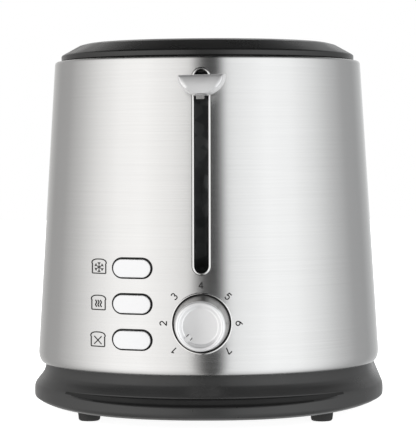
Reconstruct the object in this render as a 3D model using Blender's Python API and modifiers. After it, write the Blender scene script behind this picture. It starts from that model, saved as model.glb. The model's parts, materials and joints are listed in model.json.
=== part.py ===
"""A two-slice pop-up toaster with its lever, dial and buttons on one narrow end.

Metres, +Z up, z = 0 on the worktop. X runs across the toaster and Y along it, with the
control end at -Y. Every piece hangs on one empty, which puts the middle of the toaster's
whole box, knobs included, over the world's origin.
"""

import math

import bmesh
import bpy
from mathutils import Vector

# Body
ORIGIN_SHIFT_Y = 0.0045
GAP = 0.0003
PLAN_EXPONENT = 2.15
FLANK = 0.051  # half the length of the straight sides
END_EXTRA = 0.002  # the rounded ends are this much deeper than the half width
END_STEPS = 20
WRAP_HALF_WIDTH = 0.092
WRAP_WIDE_Z = 0.0365
TAPER = math.radians(3.6)
WRAP_SHEET = 0.0008
COVER_WALL = 0.0024
BASE_WALL = 0.0022
BASE_BOTTOM_Z = 0.0047
NECK_HALF_WIDTH = 0.0882
CRESCENT_DEPTH = 0.003
CRESCENT_HALF_WIDTH = 0.072
TOP_Z = 0.1978

# Bread slots, heaters and guards
SLOT_X = 0.025
SLOT_SIZE = (0.033, 0.142)
SLOT_CORNER = 0.002
HEATER_X = 0.052
HEATER_Z = (0.042, 0.168)
GUARD_OUTER_X = 0.043
GUARD_INNER_X = 0.007
GUARD_Z = 0.040
GUARD_HEIGHT = 0.132
GUARD_WINDOWS = 8

# Chassis
CHASSIS_X = 0.0621
CHASSIS_Y = 0.084
CHASSIS_Z = (0.025, 0.186)
SHEET = 0.0008

# Lever, carriage and its guide
TRAVEL = 0.084
LEVER_SLOT = (0.0063, 0.1018)
LEVER_SLOT_Z = 0.1301
BEZEL_RIM = 0.0014
ARM_HALF_WIDTH = 0.002
ARM_Z = (0.166, 0.176)
KNOB_Y = (-0.1585, -0.1443)
KNOB_TOP_Z = 0.1775
KNOB_DRAFT = 0.0012
CARRIAGE_Y = -0.0900
CARRIAGE_SHEET = 0.0012
GUIDE_X = 0.012
GUIDE_Y = -0.094
LIFT_Z = (0.121, 0.1292)
SPRING_Z = (0.1383, 0.1837)
MAGNET_X = 0.025
MAGNET_Y = -0.0968
ARMATURE_Z = (0.1310, 0.1335)

# Controls
DIAL_Z = 0.0540
DIAL_HOLE_RADIUS = 0.0146
DIAL_FRONT_Y = -0.162
DIAL_BACK_Y = -0.1425
BUTTON_X = -0.035
BUTTON_ZS = {"defrost": 0.0811, "reheat": 0.0631, "cancel": 0.0451}
BUTTON_SIZE = (0.0183, 0.0088)
BUTTON_HOLE = (0.0206, 0.0111)
BUTTON_PROUD = 0.0016
GUIDE_PLATE_Y = (-0.1265, -0.1245)
BOARD_Y = -0.116

# Feet and crumb tray
FOOT_X = 0.0606
FOOT_Y = 0.103
FOOT_HEIGHT = 0.0044
SCREW_X = 0.056
SCREW_Y = 0.062
SCREW_RADIUS = 0.0015
TRAY_HALF_WIDTH = 0.045
TRAY_Y = (-0.078, 0.1257)
TRAY_Z = (0.012, 0.0165)
HANDLE_HALF_WIDTH = 0.046
HANDLE_Z = (0.0095, 0.0205)
GLAND_X = 0.066
GLAND_Z = 0.0145
GLAND_NECK = 0.0050

CUT_DEPTH = 0.03  # of the cutters that go right through a wall
UPRIGHT = (math.pi / 2, 0, 0)  # a flat outline's X and Y become world X and Z


def clear_scene():
    for obj in list(bpy.data.objects):
        bpy.data.objects.remove(obj, do_unlink=True)


def new_collection(name):
    collection = bpy.data.collections.new(name)
    bpy.context.scene.collection.children.link(collection)
    return collection


def material(name, colour, roughness, metallic=0.0):
    mat = bpy.data.materials.new(name)
    mat.use_nodes = True
    shader = mat.node_tree.nodes["Principled BSDF"]
    shader.inputs["Base Color"].default_value = (*colour, 1)
    shader.inputs["Roughness"].default_value = roughness
    shader.inputs["Metallic"].default_value = metallic
    return mat


clear_scene()
PARTS = new_collection("pop_up_toaster")
CUTTERS = new_collection("cutters")
CUTTERS.hide_render = True
ORIGIN = bpy.data.objects.new("toaster_origin", None)
ORIGIN.location = (0, ORIGIN_SHIFT_Y, 0)
PARTS.objects.link(ORIGIN)

STEEL = material("brushed_steel", (0.60, 0.60, 0.61), 0.34, 1.0)
CHROME = material("chrome", (0.75, 0.75, 0.76), 0.12, 1.0)
SILVER = material("silver_plastic", (0.62, 0.62, 0.63), 0.32, 0.6)
WHITE_SILVER = material("pale_silver_plastic", (0.78, 0.78, 0.79), 0.35, 0.3)
BLACK = material("black_plastic", (0.02, 0.02, 0.02), 0.35)
GREY = material("dark_grey_plastic", (0.06, 0.06, 0.06), 0.45)
RUBBER = material("foot_rubber", (0.015, 0.015, 0.015), 0.8)
GALVANISED = material("galvanised_sheet", (0.55, 0.56, 0.57), 0.45, 1.0)
MICA = material("mica", (0.52, 0.43, 0.28), 0.6)
WIRE_STEEL = material("wire_steel", (0.5, 0.5, 0.5), 0.3, 1.0)
BOARD_GREEN = material("board_green", (0.02, 0.12, 0.04), 0.5)
COPPER = material("enamelled_copper", (0.45, 0.16, 0.05), 0.35, 1.0)
TINPLATE = material("tray_tinplate", (0.5, 0.5, 0.51), 0.4, 1.0)


def add_part(name, data, mat, location=(0, 0, 0), rotation=(0, 0, 0)):
    obj = bpy.data.objects.new(name, data)
    PARTS.objects.link(obj)
    obj.parent = ORIGIN
    obj.location = location
    obj.rotation_euler = rotation
    data.materials.append(mat)
    return obj


def as_cutter(obj):
    """Moves an object to the hidden collection, where it cuts, trims or joins."""
    PARTS.objects.unlink(obj)
    CUTTERS.objects.link(obj)
    obj.hide_render = True
    obj.display_type = "WIRE"
    return obj


def boolean(obj, other, operation="DIFFERENCE"):
    modifier = obj.modifiers.new(f"{operation.lower()}_{other.name}", "BOOLEAN")
    modifier.operation = operation
    modifier.object = other
    return obj


def solidified(obj, thickness):
    modifier = obj.modifiers.new("wall", "SOLIDIFY")
    modifier.thickness = thickness
    modifier.offset = -1
    modifier.use_even_offset = True
    return obj


def mesh_from(bm, name):
    mesh = bpy.data.meshes.new(name)
    bm.to_mesh(mesh)
    bm.free()
    return mesh


def box(name, low, high, mat):
    """A box between two corners, with its origin at its middle."""
    low, high = Vector(low), Vector(high)
    bm = bmesh.new()
    bmesh.ops.create_cube(bm, size=1)
    bmesh.ops.scale(bm, vec=high - low, verts=bm.verts)
    return add_part(name, mesh_from(bm, name), mat, (low + high) / 2)


def rod(name, radius, length, mat, location, rotation=(0, 0, 0), segments=20):
    """A cylinder along its own Z, centred on its location."""
    bm = bmesh.new()
    bmesh.ops.create_cone(
        bm, cap_ends=True, segments=segments, radius1=radius, radius2=radius, depth=length
    )
    mesh = mesh_from(bm, name)
    mesh.shade_smooth()
    mesh.set_sharp_from_angle(angle=math.radians(40))
    return add_part(name, mesh, mat, location, rotation)


def turned(name, profile, mat, location, rotation=(0, 0, 0), steps=32, loop=False):
    """A profile of (radius, height) points, from top to bottom, turned round its own Z."""
    bm = bmesh.new()
    verts = [bm.verts.new((radius, 0, height)) for radius, height in profile]
    for first, second in zip(verts, verts[1:]):
        bm.edges.new((first, second))
    if loop:
        bm.edges.new((verts[-1], verts[0]))
    obj = add_part(name, mesh_from(bm, name), mat, location, rotation)
    screw = obj.modifiers.new("turn", "SCREW")
    screw.steps = screw.render_steps = steps
    screw.use_merge_vertices = True
    screw.merge_threshold = 0.00001
    screw.use_smooth_shade = True
    return obj


def slab(name, loops, thickness, mat, location=(0, 0, 0), rotation=UPRIGHT):
    """A flat outline, with any holes as further loops, made into a mesh of even thickness."""
    curve = bpy.data.curves.new(name, "CURVE")
    curve.dimensions = "2D"
    curve.fill_mode = "BOTH"
    curve.extrude = thickness / 2
    for points in loops:
        spline = curve.splines.new("POLY")
        spline.points.add(len(points) - 1)
        for point, (x, y) in zip(spline.points, points):
            point.co = (x, y, 0, 1)
        spline.use_cyclic_u = True
    return meshed(add_part(name, curve, mat, location, rotation))


def meshed(curve_obj):
    """Replaces a curve object with the mesh that it makes, its caps welded on."""
    name, data = curve_obj.name, curve_obj.data
    bpy.context.view_layer.update()
    graph = bpy.context.evaluated_depsgraph_get()
    mesh = bpy.data.meshes.new_from_object(curve_obj.evaluated_get(graph))
    bm = bmesh.new()
    bm.from_mesh(mesh)
    bmesh.ops.remove_doubles(bm, verts=bm.verts, dist=0.000001)
    bm.to_mesh(mesh)
    bm.free()
    location, rotation = curve_obj.location.copy(), curve_obj.rotation_euler.copy()
    bpy.data.objects.remove(curve_obj)
    mat = data.materials[0]
    bpy.data.curves.remove(data)
    mesh.materials.clear()
    return add_part(name, mesh, mat, location, rotation)


def rectangle(x0, y0, x1, y1):
    return [(x0, y0), (x1, y0), (x1, y1), (x0, y1)]


def stadium(width, height, centre=(0, 0), steps=8):
    """An outline with straight long sides and half-round ends."""
    radius = min(width, height) / 2
    reach = Vector((width / 2 - radius, height / 2 - radius))
    start = 0 if height > width else -math.pi / 2
    points = []
    for end in (0, 1):
        middle = Vector(centre) + (reach if end == 0 else -reach)
        for step in range(steps + 1):
            angle = start + math.pi * (end + step / steps)
            points.append(middle + Vector((math.cos(angle), math.sin(angle))) * radius)
    return points


def rounded_rectangle(width, height, radius, centre=(0, 0), steps=5):
    points = []
    for quarter, (sx, sy) in enumerate(((1, 1), (-1, 1), (-1, -1), (1, -1))):
        corner = Vector((sx * (width / 2 - radius), sy * (height / 2 - radius)))
        for step in range(steps + 1):
            angle = math.pi / 2 * (quarter + step / steps)
            arc = Vector((math.cos(angle), math.sin(angle))) * radius
            points.append(Vector(centre) + corner + arc)
    return points


def wrap_half_width(z):
    return WRAP_HALF_WIDTH - (z - WRAP_WIDE_Z) * math.tan(TAPER)


def end_y(half_width, x):
    """How far the rounded end of a plan outline reaches from the middle, at x."""
    fall = 1 - abs(x / half_width) ** PLAN_EXPONENT
    return FLANK + (half_width + END_EXTRA) * fall ** (1 / PLAN_EXPONENT)


def wrap_front_y(z, x=0.0):
    return -end_y(wrap_half_width(z), x)


def plan_ring(half_width, z, dent=0.0):
    """Points round the body's plan outline. A dent pushes in the middle of the front end."""
    points = []
    power = 2 / PLAN_EXPONENT
    for end in (1, -1):
        for step in range(END_STEPS + 1):
            angle = math.pi * step / END_STEPS
            across = math.cos(angle) if end == 1 else -math.cos(angle)
            x = math.copysign(abs(across) ** power, across) * half_width
            y = end * (FLANK + (half_width + END_EXTRA) * math.sin(angle) ** power)
            if end == -1:
                y += dent * max(0.0, 1 - (x / CRESCENT_HALF_WIDTH) ** 2) ** 0.7
            points.append((x, y, z))
    return points


def loft(name, profile, mat, caps=(False, False)):
    """A surface through the plan outline at each (half width, z) of the profile."""
    bm = bmesh.new()
    rings = [[bm.verts.new(point) for point in plan_ring(*level)] for level in profile]
    for low, high in zip(rings, rings[1:]):
        for i, vert in enumerate(low):
            j = (i + 1) % len(low)
            bm.faces.new((vert, low[j], high[j], high[i]))
    if caps[0]:
        bm.faces.new(reversed(rings[0]))
    if caps[1]:
        bm.faces.new(rings[-1])
    mesh = mesh_from(bm, name)
    mesh.shade_smooth()
    mesh.set_sharp_from_angle(angle=math.radians(35))
    return add_part(name, mesh, mat)


def body_core(name, out):
    """The solid inside the wrap's outer face, grown by out, for trimming what sits in it."""
    lowest, highest = 0.030, 0.184
    profile = [(wrap_half_width(z) + out, z) for z in (lowest, highest)]
    return as_cutter(loft(name, profile, STEEL, caps=(True, True)))


BASE_PROFILE = [
    (0.0902, BASE_BOTTOM_Z),
    (0.0928, 0.0052),
    (0.0942, 0.0069),
    (0.0946, 0.0090),
    (0.0945, 0.0120),
    (0.0943, 0.0129, CRESCENT_DEPTH),
    (0.0938, 0.0156, CRESCENT_DEPTH),
    (0.0935, 0.0165),
    (0.0919, 0.0202),
    (0.0902, 0.0224),
    (0.0890, 0.0246),
    (NECK_HALF_WIDTH, 0.0264),
    (NECK_HALF_WIDTH, 0.0330),
]


def make_body_shell():
    profile = [
        (0.0897, 0.0262),
        (0.0910, 0.0273),
        (0.0919, 0.0294),
        (wrap_half_width(0.033), 0.033),
        (wrap_half_width(0.110), 0.110),
        (wrap_half_width(0.184), 0.184),
        (0.0822, 0.1864),
        (0.0814, 0.1876),
        (0.0804, 0.1882),
    ]
    shell = solidified(loft("body_shell", profile, STEEL), WRAP_SHEET)
    slot_hole = stadium(LEVER_SLOT[0] + 0.0024, LEVER_SLOT[1] + 0.0022)
    slot_at = (0, wrap_front_y(LEVER_SLOT_Z), LEVER_SLOT_Z)
    slot_tilt = (math.pi / 2 - TAPER, 0, 0)
    lever_slot = slab("lever_slot_cut", [slot_hole], CUT_DEPTH, STEEL, slot_at, slot_tilt)
    boolean(shell, as_cutter(lever_slot))
    radius = DIAL_HOLE_RADIUS + 0.0009
    dial_at = (0, wrap_front_y(DIAL_Z), DIAL_Z)
    dial_hole = rod("dial_hole_cut", radius, CUT_DEPTH, STEEL, dial_at, UPRIGHT, segments=32)
    boolean(shell, as_cutter(dial_hole))
    for button, z in BUTTON_ZS.items():
        place = (BUTTON_X, wrap_front_y(z, BUTTON_X), z)
        hole = slab(f"{button}_hole_cut", [stadium(*BUTTON_HOLE)], CUT_DEPTH, STEEL, place)
        boolean(shell, as_cutter(hole))


def make_top_cover():
    profile = [
        (0.0793, 0.1800),
        (0.0793, 0.1886),
        (0.0802, 0.1888),
        (0.0802, 0.1906),
        (0.0795, 0.1913),
        (0.0706, 0.1970),
        (0.0675, TOP_Z),
    ]
    cover = solidified(loft("top_cover", profile, BLACK, caps=(False, True)), COVER_WALL)
    for side, sign in (("left", -1), ("right", 1)):
        outline = rounded_rectangle(*SLOT_SIZE, SLOT_CORNER)
        place = (sign * SLOT_X, 0, TOP_Z)
        hole = slab(f"{side}_bread_slot_cut", [outline], 0.02, BLACK, place, (0, 0, 0))
        boolean(cover, as_cutter(hole))


def make_base():
    base = solidified(loft("base", BASE_PROFILE, GREY, caps=(True, False)), BASE_WALL)
    room = 0.0004
    opening = box(
        "tray_opening_cut",
        (-HANDLE_HALF_WIDTH - room, 0.118, HANDLE_Z[0] - room),
        (HANDLE_HALF_WIDTH + room, 0.170, HANDLE_Z[1] + room),
        GREY,
    )
    boolean(base, as_cutter(opening))
    place, turn = gland_place()
    gland_hole = rod("gland_hole_cut", GLAND_NECK + 0.0004, CUT_DEPTH, GREY, place, turn)
    boolean(base, as_cutter(gland_hole))
    for i, (x, y) in enumerate(screw_places(), 1):
        place, radius = (x, y, BASE_BOTTOM_Z), SCREW_RADIUS + 0.0004
        hole = rod(f"screw_hole_cut_{i}", radius, CUT_DEPTH / 3, GREY, place, segments=16)
        boolean(base, as_cutter(hole))


def make_feet():
    profile = [(0, FOOT_HEIGHT), (0.0060, FOOT_HEIGHT), (0.0056, 0.0008), (0.0050, 0), (0, 0)]
    for end, y in (("front", -FOOT_Y), ("rear", FOOT_Y)):
        for side, x in (("left", -FOOT_X), ("right", FOOT_X)):
            turned(f"foot_{end}_{side}", profile, RUBBER, (x, y, 0), steps=24)


def screw_places():
    return [(x, y) for y in (-SCREW_Y, SCREW_Y) for x in (-SCREW_X, SCREW_X)]


def make_base_screws():
    head_bottom, head_top, tip = 0.0026, 0.0044, 0.0240
    profile = [
        (0, tip),
        (0.0011, tip),
        (SCREW_RADIUS, tip - 0.0010),
        (SCREW_RADIUS, head_top),
        (0.0034, head_top),
        (0.0034, head_bottom + 0.0006),
        (0.0026, head_bottom),
        (0, head_bottom),
    ]
    for i, (x, y) in enumerate(screw_places(), 1):
        turned(f"base_screw_{i}", profile, WIRE_STEEL, (x, y, 0), steps=16)


def make_slot_bezel():
    place = (0, wrap_front_y(LEVER_SLOT_Z), LEVER_SLOT_Z)
    tilt = (math.pi / 2 - TAPER, 0, 0)
    outward = Vector((0, -math.cos(TAPER), math.sin(TAPER)))
    width, height = LEVER_SLOT
    rim = [stadium(width + 2 * BEZEL_RIM + 0.0004, height + 2 * BEZEL_RIM), stadium(width, height)]
    neck = [stadium(width + 0.0017, height + 0.0015), stadium(width - 0.0001, height - 0.0001)]
    rim_at = Vector(place) + outward * 0.00065
    neck_at = Vector(place) - outward * 0.0011
    bezel = slab("slot_bezel", rim, 0.0007, CHROME, rim_at, tilt)
    collar = slab("slot_bezel_neck", neck, 0.0034, CHROME, neck_at, tilt)
    boolean(bezel, as_cutter(collar), "UNION")


def make_dial_bezel():
    inner, outer = DIAL_HOLE_RADIUS, DIAL_HOLE_RADIUS + 0.0006
    front, back = 0.008, -0.006
    profile = [(inner, front), (outer, front), (outer, back), (inner, back)]
    place = (0, wrap_front_y(DIAL_Z), DIAL_Z)
    ring = turned("dial_bezel", profile, CHROME, place, UPRIGHT, steps=40, loop=True)
    boolean(ring, body_core("dial_bezel_trim", 0.0005), "INTERSECT")


def make_button_guide():
    back, front = GUIDE_PLATE_Y[1], GUIDE_PLATE_Y[0]
    plate = rounded_rectangle(0.023, 0.052, 0.002, (BUTTON_X, BUTTON_ZS["reheat"]))
    middle = (0, (front + back) / 2, 0)
    guide = slab("button_guide", [plate], back - front, BLACK, middle)
    places = [(BUTTON_X, z) for z in BUTTON_ZS.values()]
    collars = [stadium(BUTTON_HOLE[0] - 0.0006, BUTTON_HOLE[1] - 0.0006, place) for place in places]
    collar_front, collar_back = -0.1470, -0.1250
    middle = (0, (collar_front + collar_back) / 2, 0)
    blocks = slab("button_guide_collars", collars, collar_back - collar_front, BLACK, middle)
    boolean(guide, as_cutter(blocks), "UNION")
    boolean(guide, body_core("button_guide_trim", 0.0), "INTERSECT")
    wells = [stadium(BUTTON_SIZE[0] + 0.0008, BUTTON_SIZE[1] + 0.0008, place) for place in places]
    well_depth = 2 * CUT_DEPTH
    boolean(guide, as_cutter(slab("button_wells_cut", wells, well_depth, BLACK, (0, -0.135, 0))))


def make_buttons():
    """Each cap follows the wrap's curve and stands a little proud of it."""
    front, back, flange_back = -0.150, -0.1240, -0.1227
    proud = body_core("button_trim", BUTTON_PROUD)
    for name, z in BUTTON_ZS.items():
        middle = (BUTTON_X, (front + back) / 2, z)
        cap = slab(f"{name}_button", [stadium(*BUTTON_SIZE)], back - front, WHITE_SILVER, middle)
        boolean(cap, proud, "INTERSECT")
        flange_middle = (BUTTON_X, (back + flange_back) / 2 - GAP / 2, z)
        flange = slab(
            f"{name}_button_flange",
            [stadium(0.0204, 0.0104)],
            flange_back - back - GAP,
            WHITE_SILVER,
            flange_middle,
        )
        boolean(cap, as_cutter(flange), "UNION")


def make_dial():
    """The knob turns on a shaft from the control on the circuit board."""
    depth = DIAL_BACK_Y - DIAL_FRONT_Y
    profile = [
        (0, depth - 0.0012),
        (0.0085, depth - 0.0010),
        (0.0093, depth - 0.0001),
        (0.0112, depth),
        (0.0119, depth - 0.0006),
        (0.0123, depth - 0.0018),
        (0.0138, 0.0035),
        (0.0140, 0.0),
        (0.0033, 0.0),
        (0.0033, depth - 0.0065),
        (0, depth - 0.0065),
    ]
    knob = turned("dial_knob", profile, SILVER, (0, DIAL_BACK_Y, DIAL_Z), UPRIGHT, steps=40)
    notch_angle = math.radians(225)
    reach = 0.0105
    notch = box("dial_notch_cut", (-0.0018, -0.0006, -0.0006), (0.0018, 0.0006, 0.0006), SILVER)
    notch.location = (
        reach * math.cos(notch_angle),
        DIAL_FRONT_Y,
        DIAL_Z + reach * math.sin(notch_angle),
    )
    notch.rotation_euler = (0, -notch_angle, 0)
    boolean(knob, as_cutter(notch))
    shaft_front, shaft_back = -0.1550, -0.1245
    middle = (0, (shaft_front + shaft_back) / 2, DIAL_Z)
    rod("dial_shaft", 0.0029, shaft_back - shaft_front, WIRE_STEEL, middle, UPRIGHT, 16)


def make_controls_board():
    left, right, low = -0.048, 0.022, 0.030
    outline = [(left, low), (right, low), (right, 0.074), (-0.014, 0.074), (-0.014, 0.090)]
    outline.append((left, 0.090))
    slab("circuit_board", [outline], 0.0016, BOARD_GREEN, (0, BOARD_Y + 0.0008, 0))
    carrier_front = BOARD_Y + 0.0016 + GAP
    frame = [rectangle(-0.050, 0.0074, 0.024, 0.070), rectangle(-0.040, 0.034, 0.014, 0.062)]
    slab("board_carrier", frame, 0.002, BLACK, (0, carrier_front + 0.001, 0))
    pot_front, pot_back = -0.1242, BOARD_Y - GAP
    middle = (0, (pot_front + pot_back) / 2, DIAL_Z)
    rod("potentiometer", 0.0085, pot_back - pot_front, GREY, middle, UPRIGHT, 24)
    for name, z in BUTTON_ZS.items():
        low = (BUTTON_X - 0.003, -0.1210, z - 0.003)
        high = (BUTTON_X + 0.003, BOARD_Y - GAP, z + 0.003)
        box(f"{name}_switch", low, high, BLACK)


def make_chassis():
    low, high = CHASSIS_Z
    room = 0.0025
    bottom, top = LIFT_Z[0] - TRAVEL - room, LIFT_Z[1] + room
    arm_slots = [rectangle(x - room, bottom, x + room, top) for x in (-SLOT_X, SLOT_X)]
    plate = rectangle(-CHASSIS_X, low, CHASSIS_X, high)
    middle = CHASSIS_Y - SHEET / 2
    slab("chassis_front_plate", [plate, *arm_slots], SHEET, GALVANISED, (0, -middle, 0))
    vent_xs = [0.012 * i for i in range(-3, 4)]
    vents = [rectangle(x - 0.0015, 0.060, x + 0.0015, 0.150) for x in vent_xs]
    slab("chassis_rear_plate", [plate, *vents], SHEET, GALVANISED, (0, middle, 0))
    length = 2 * (CHASSIS_Y - SHEET - GAP)
    for side, sign in (("left", -1), ("right", 1)):
        outer, inner, foot = CHASSIS_X, CHASSIS_X - SHEET, 0.050
        section = [(outer, low), (outer, high), (inner, high), (inner, low + SHEET)]
        section += [(foot, low + SHEET), (foot, low)]
        section = [(sign * x, z) for x, z in section]
        slab(f"chassis_{side}_panel", [section], length, GALVANISED)


def make_heaters():
    reach = CHASSIS_Y - SHEET - 2 * GAP
    for name, x in (("left", -HEATER_X), ("centre", 0.0), ("right", HEATER_X)):
        low = (x - 0.0005, -reach, HEATER_Z[0])
        high = (x + 0.0005, reach, HEATER_Z[1])
        box(f"heater_{name}", low, high, MICA)


def make_guards():
    """Stamped grilles beside each bread slot. Each leans in from a hinge at its foot."""
    half, tab, bar = 0.076, 0.0825, 0.005
    width = (2 * half - bar) / GUARD_WINDOWS
    outline = [(-half, 0.004), (-tab, 0.004), (-tab, -0.001), (tab, -0.001), (tab, 0.004)]
    outline += [(half, 0.004), (half, GUARD_HEIGHT), (-half, GUARD_HEIGHT)]
    windows = []
    for i in range(GUARD_WINDOWS):
        start = -half + bar + i * width
        windows.append(rectangle(start, 0.008, start + width - bar, GUARD_HEIGHT - 0.006))
    for slot, side in (("left", -1), ("right", 1)):
        for place, x in (("outer", GUARD_OUTER_X), ("inner", GUARD_INNER_X)):
            slab(
                f"bread_guard_{slot}_{place}",
                [outline, *windows],
                0.001,
                WIRE_STEEL,
                (side * x, 0, GUARD_Z),
                (math.pi / 2, 0, math.pi / 2),
            )


def make_lever():
    arm_low = (-ARM_HALF_WIDTH, KNOB_Y[0] + 0.0080, ARM_Z[0])
    arm_high = (ARM_HALF_WIDTH, CARRIAGE_Y - GAP, ARM_Z[1])
    box("lever_arm", arm_low, arm_high, CHROME)
    knob = lever_knob_blank()
    room = Vector((GAP, GAP, GAP))
    pocket = box("lever_pocket_cut", Vector(arm_low) - room, Vector(arm_high) + room, SILVER)
    boolean(knob, as_cutter(pocket))


def lever_knob_blank():
    """A D lying on its curved side, larger at the back than at the face."""
    half, depth, steps = 0.0111, 0.0093, 12
    bm = bmesh.new()
    sections = []
    for y, grow in ((KNOB_Y[0], -0.0008), (KNOB_Y[0] + 0.0008, 0.0), (KNOB_Y[1], KNOB_DRAFT)):
        points = []
        for step in range(steps + 1):
            angle = math.pi * (1 + step / steps)
            x = (half + grow) * math.cos(angle)
            z = (depth + grow) * -(abs(math.sin(angle)) ** 0.8)
            points.append(bm.verts.new((x, y, KNOB_TOP_Z + z + min(grow, 0.0))))
        lift = 0.3 * max(grow, 0.0)
        points[0].co.z += lift
        points[-1].co.z += lift
        sections.append(points)
    for first, second in zip(sections, sections[1:]):
        for i, vert in enumerate(first):
            j = (i + 1) % len(first)
            bm.faces.new((vert, first[j], second[j], second[i]))
    bm.faces.new(reversed(sections[0]))
    bm.faces.new(sections[-1])
    bmesh.ops.recalc_face_normals(bm, faces=bm.faces)
    return add_part("lever_knob", mesh_from(bm, "lever_knob"), SILVER)


def make_carriage():
    sheet = CARRIAGE_SHEET
    outline = [(-0.030, 0.118), (0.030, 0.118), (0.030, 0.134), (0.018, 0.134), (0.018, 0.180)]
    outline += [(-0.018, 0.180), (-0.018, 0.134), (-0.030, 0.134)]
    plate = slab("carriage_plate", [outline], sheet, GALVANISED, (0, CARRIAGE_Y + sheet / 2, 0))
    sleeve = rod(
        "carriage_sleeve", 0.0045, 0.026, GALVANISED, (GUIDE_X, GUIDE_Y, 0.163), segments=20
    )
    boolean(plate, as_cutter(sleeve), "UNION")
    tab_low = (-GUIDE_X - 0.003, GUIDE_Y - 0.003, SPRING_Z[0] - GAP - sheet)
    tab_high = (-GUIDE_X + 0.003, CARRIAGE_Y + sheet / 2, SPRING_Z[0] - GAP)
    boolean(plate, as_cutter(box("spring_tab", tab_low, tab_high, GALVANISED)), "UNION")
    bore = rod("carriage_bore_cut", 0.0029, 0.04, GALVANISED, (GUIDE_X, GUIDE_Y, 0.163))
    boolean(plate, as_cutter(bore))
    low = (MAGNET_X - 0.006, MAGNET_Y - 0.003, ARMATURE_Z[0])
    box("armature", low, (MAGNET_X + 0.006, CARRIAGE_Y - GAP, ARMATURE_Z[1]), WIRE_STEEL)
    for side, sign in (("left", -1), ("right", 1)):
        make_bread_lift(side, sign * SLOT_X)


def make_bread_lift(side, x):
    """An upright web that runs back from the carriage, with a shelf for the bread."""
    front, back, shelf_front = CARRIAGE_Y + CARRIAGE_SHEET + GAP, 0.076, -0.074
    low, high = LIFT_Z
    lift = box(f"bread_lift_{side}", (x - 0.0006, front, low), (x + 0.0006, back, high), WIRE_STEEL)
    shelf_low = (x - 0.004, shelf_front, high - 0.0012)
    shelf_high = (x + 0.004, back - 0.001, high + 0.0002)
    shelf = box(f"bread_lift_{side}_shelf", shelf_low, shelf_high, WIRE_STEEL)
    boolean(lift, as_cutter(shelf), "UNION")


def make_guide():
    rod_z = (0.026, 0.1837)
    middle = (GUIDE_X, GUIDE_Y, sum(rod_z) / 2)
    rod("guide_rod", 0.0025, rod_z[1] - rod_z[0], CHROME, middle, segments=16)
    back = -CHASSIS_Y - GAP
    front = GUIDE_Y - 0.005
    box("upper_rod_bracket", (-0.018, front, 0.184), (0.018, back, 0.186), GALVANISED)
    box("lower_rod_bracket", (0.006, front, 0.0237), (0.018, back, 0.0257), GALVANISED)
    make_spring()


def make_spring():
    """An extension spring that pulls the carriage up from the upper bracket."""
    turns, points_per_turn, radius, wire = 11, 10, 0.0033, 0.00045
    low, high = SPRING_Z[0] + 0.0005, SPRING_Z[1] - 0.0005
    coil_low, coil_high = low + 0.003, high - 0.003
    points = [(0, 0, low)]
    count = turns * points_per_turn
    for i in range(count + 1):
        angle = 2 * math.pi * i / points_per_turn
        z = coil_low + (coil_high - coil_low) * i / count
        points.append((radius * math.cos(angle), radius * math.sin(angle), z))
    points.append((0, 0, high))
    curve = bpy.data.curves.new("lift_spring", "CURVE")
    curve.dimensions = "3D"
    curve.bevel_depth = wire
    curve.bevel_resolution = 2
    curve.use_fill_caps = True
    spline = curve.splines.new("POLY")
    spline.points.add(len(points) - 1)
    for point, place in zip(spline.points, points):
        point.co = (*place, 1)
    add_part("lift_spring", curve, WIRE_STEEL, (-GUIDE_X, GUIDE_Y, 0))


def make_magnet():
    """An E core, with its coil on the middle leg, holds the armature down."""
    low, yoke, top = 0.027, 0.0305, ARMATURE_Z[0] - TRAVEL - GAP
    half, inside, leg = 0.008, 0.0055, 0.0022
    right = [(half, low), (half, top), (inside, top), (inside, yoke), (leg, yoke), (leg, top)]
    left = [(-x, z) for x, z in reversed(right)]
    outline = [(MAGNET_X + x, z) for x, z in right + left]
    slab("magnet_core", [outline], 0.006, WIRE_STEEL, (0, MAGNET_Y, 0))
    around = rounded_rectangle(0.0098, 0.0122, 0.0015, steps=3)
    hole = rectangle(-0.0025, -0.0033, 0.0025, 0.0033)
    slab("magnet_coil", [around, hole], 0.014, COPPER, (MAGNET_X, MAGNET_Y, 0.0382), (0, 0, 0))
    box("mains_contact_block", (-0.033, -0.104, 0.027), (-0.018, -0.0925, 0.044), BLACK)


def make_crumb_tray():
    low = (-TRAY_HALF_WIDTH, TRAY_Y[0], TRAY_Z[0])
    high = (TRAY_HALF_WIDTH, TRAY_Y[1], TRAY_Z[1])
    tray = box("crumb_tray", low, high, TINPLATE)
    bm = bmesh.new()
    bm.from_mesh(tray.data)
    top = [face for face in bm.faces if face.normal.z > 0.5]
    bmesh.ops.delete(bm, geom=top, context="FACES_ONLY")
    bm.to_mesh(tray.data)
    bm.free()
    solidified(tray, SHEET)
    make_tray_handle()


def make_tray_handle():
    """The handle closes the gap in the base, and its back face follows the base's."""
    front = TRAY_Y[1] + GAP
    handle_low = (-HANDLE_HALF_WIDTH, front, HANDLE_Z[0])
    handle = box("tray_handle", handle_low, (HANDLE_HALF_WIDTH, 0.16, HANDLE_Z[1]), GREY)
    flat_profile = [level[:2] for level in BASE_PROFILE]
    trim = as_cutter(loft("tray_handle_trim", flat_profile, GREY, caps=(True, True)))
    boolean(handle, trim, "INTERSECT")
    lip = slab(
        "tray_handle_lip",
        [stadium(0.036, 0.020, (0, 0.1430))],
        0.0028,
        GREY,
        (0, 0, 0.0123),
        (0, 0, 0),
    )
    boolean(handle, as_cutter(lip), "UNION")


def gland_place():
    """Where the mains lead leaves the base, beside the tray, square to the wall."""
    half_width, x, step = 0.0942, GLAND_X, 0.0005
    slope = (end_y(half_width, x + step) - end_y(half_width, x - step)) / (2 * step)
    outward = math.atan(-slope)
    return (x, end_y(half_width, x), GLAND_Z), (-math.pi / 2, 0, -outward)


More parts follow.
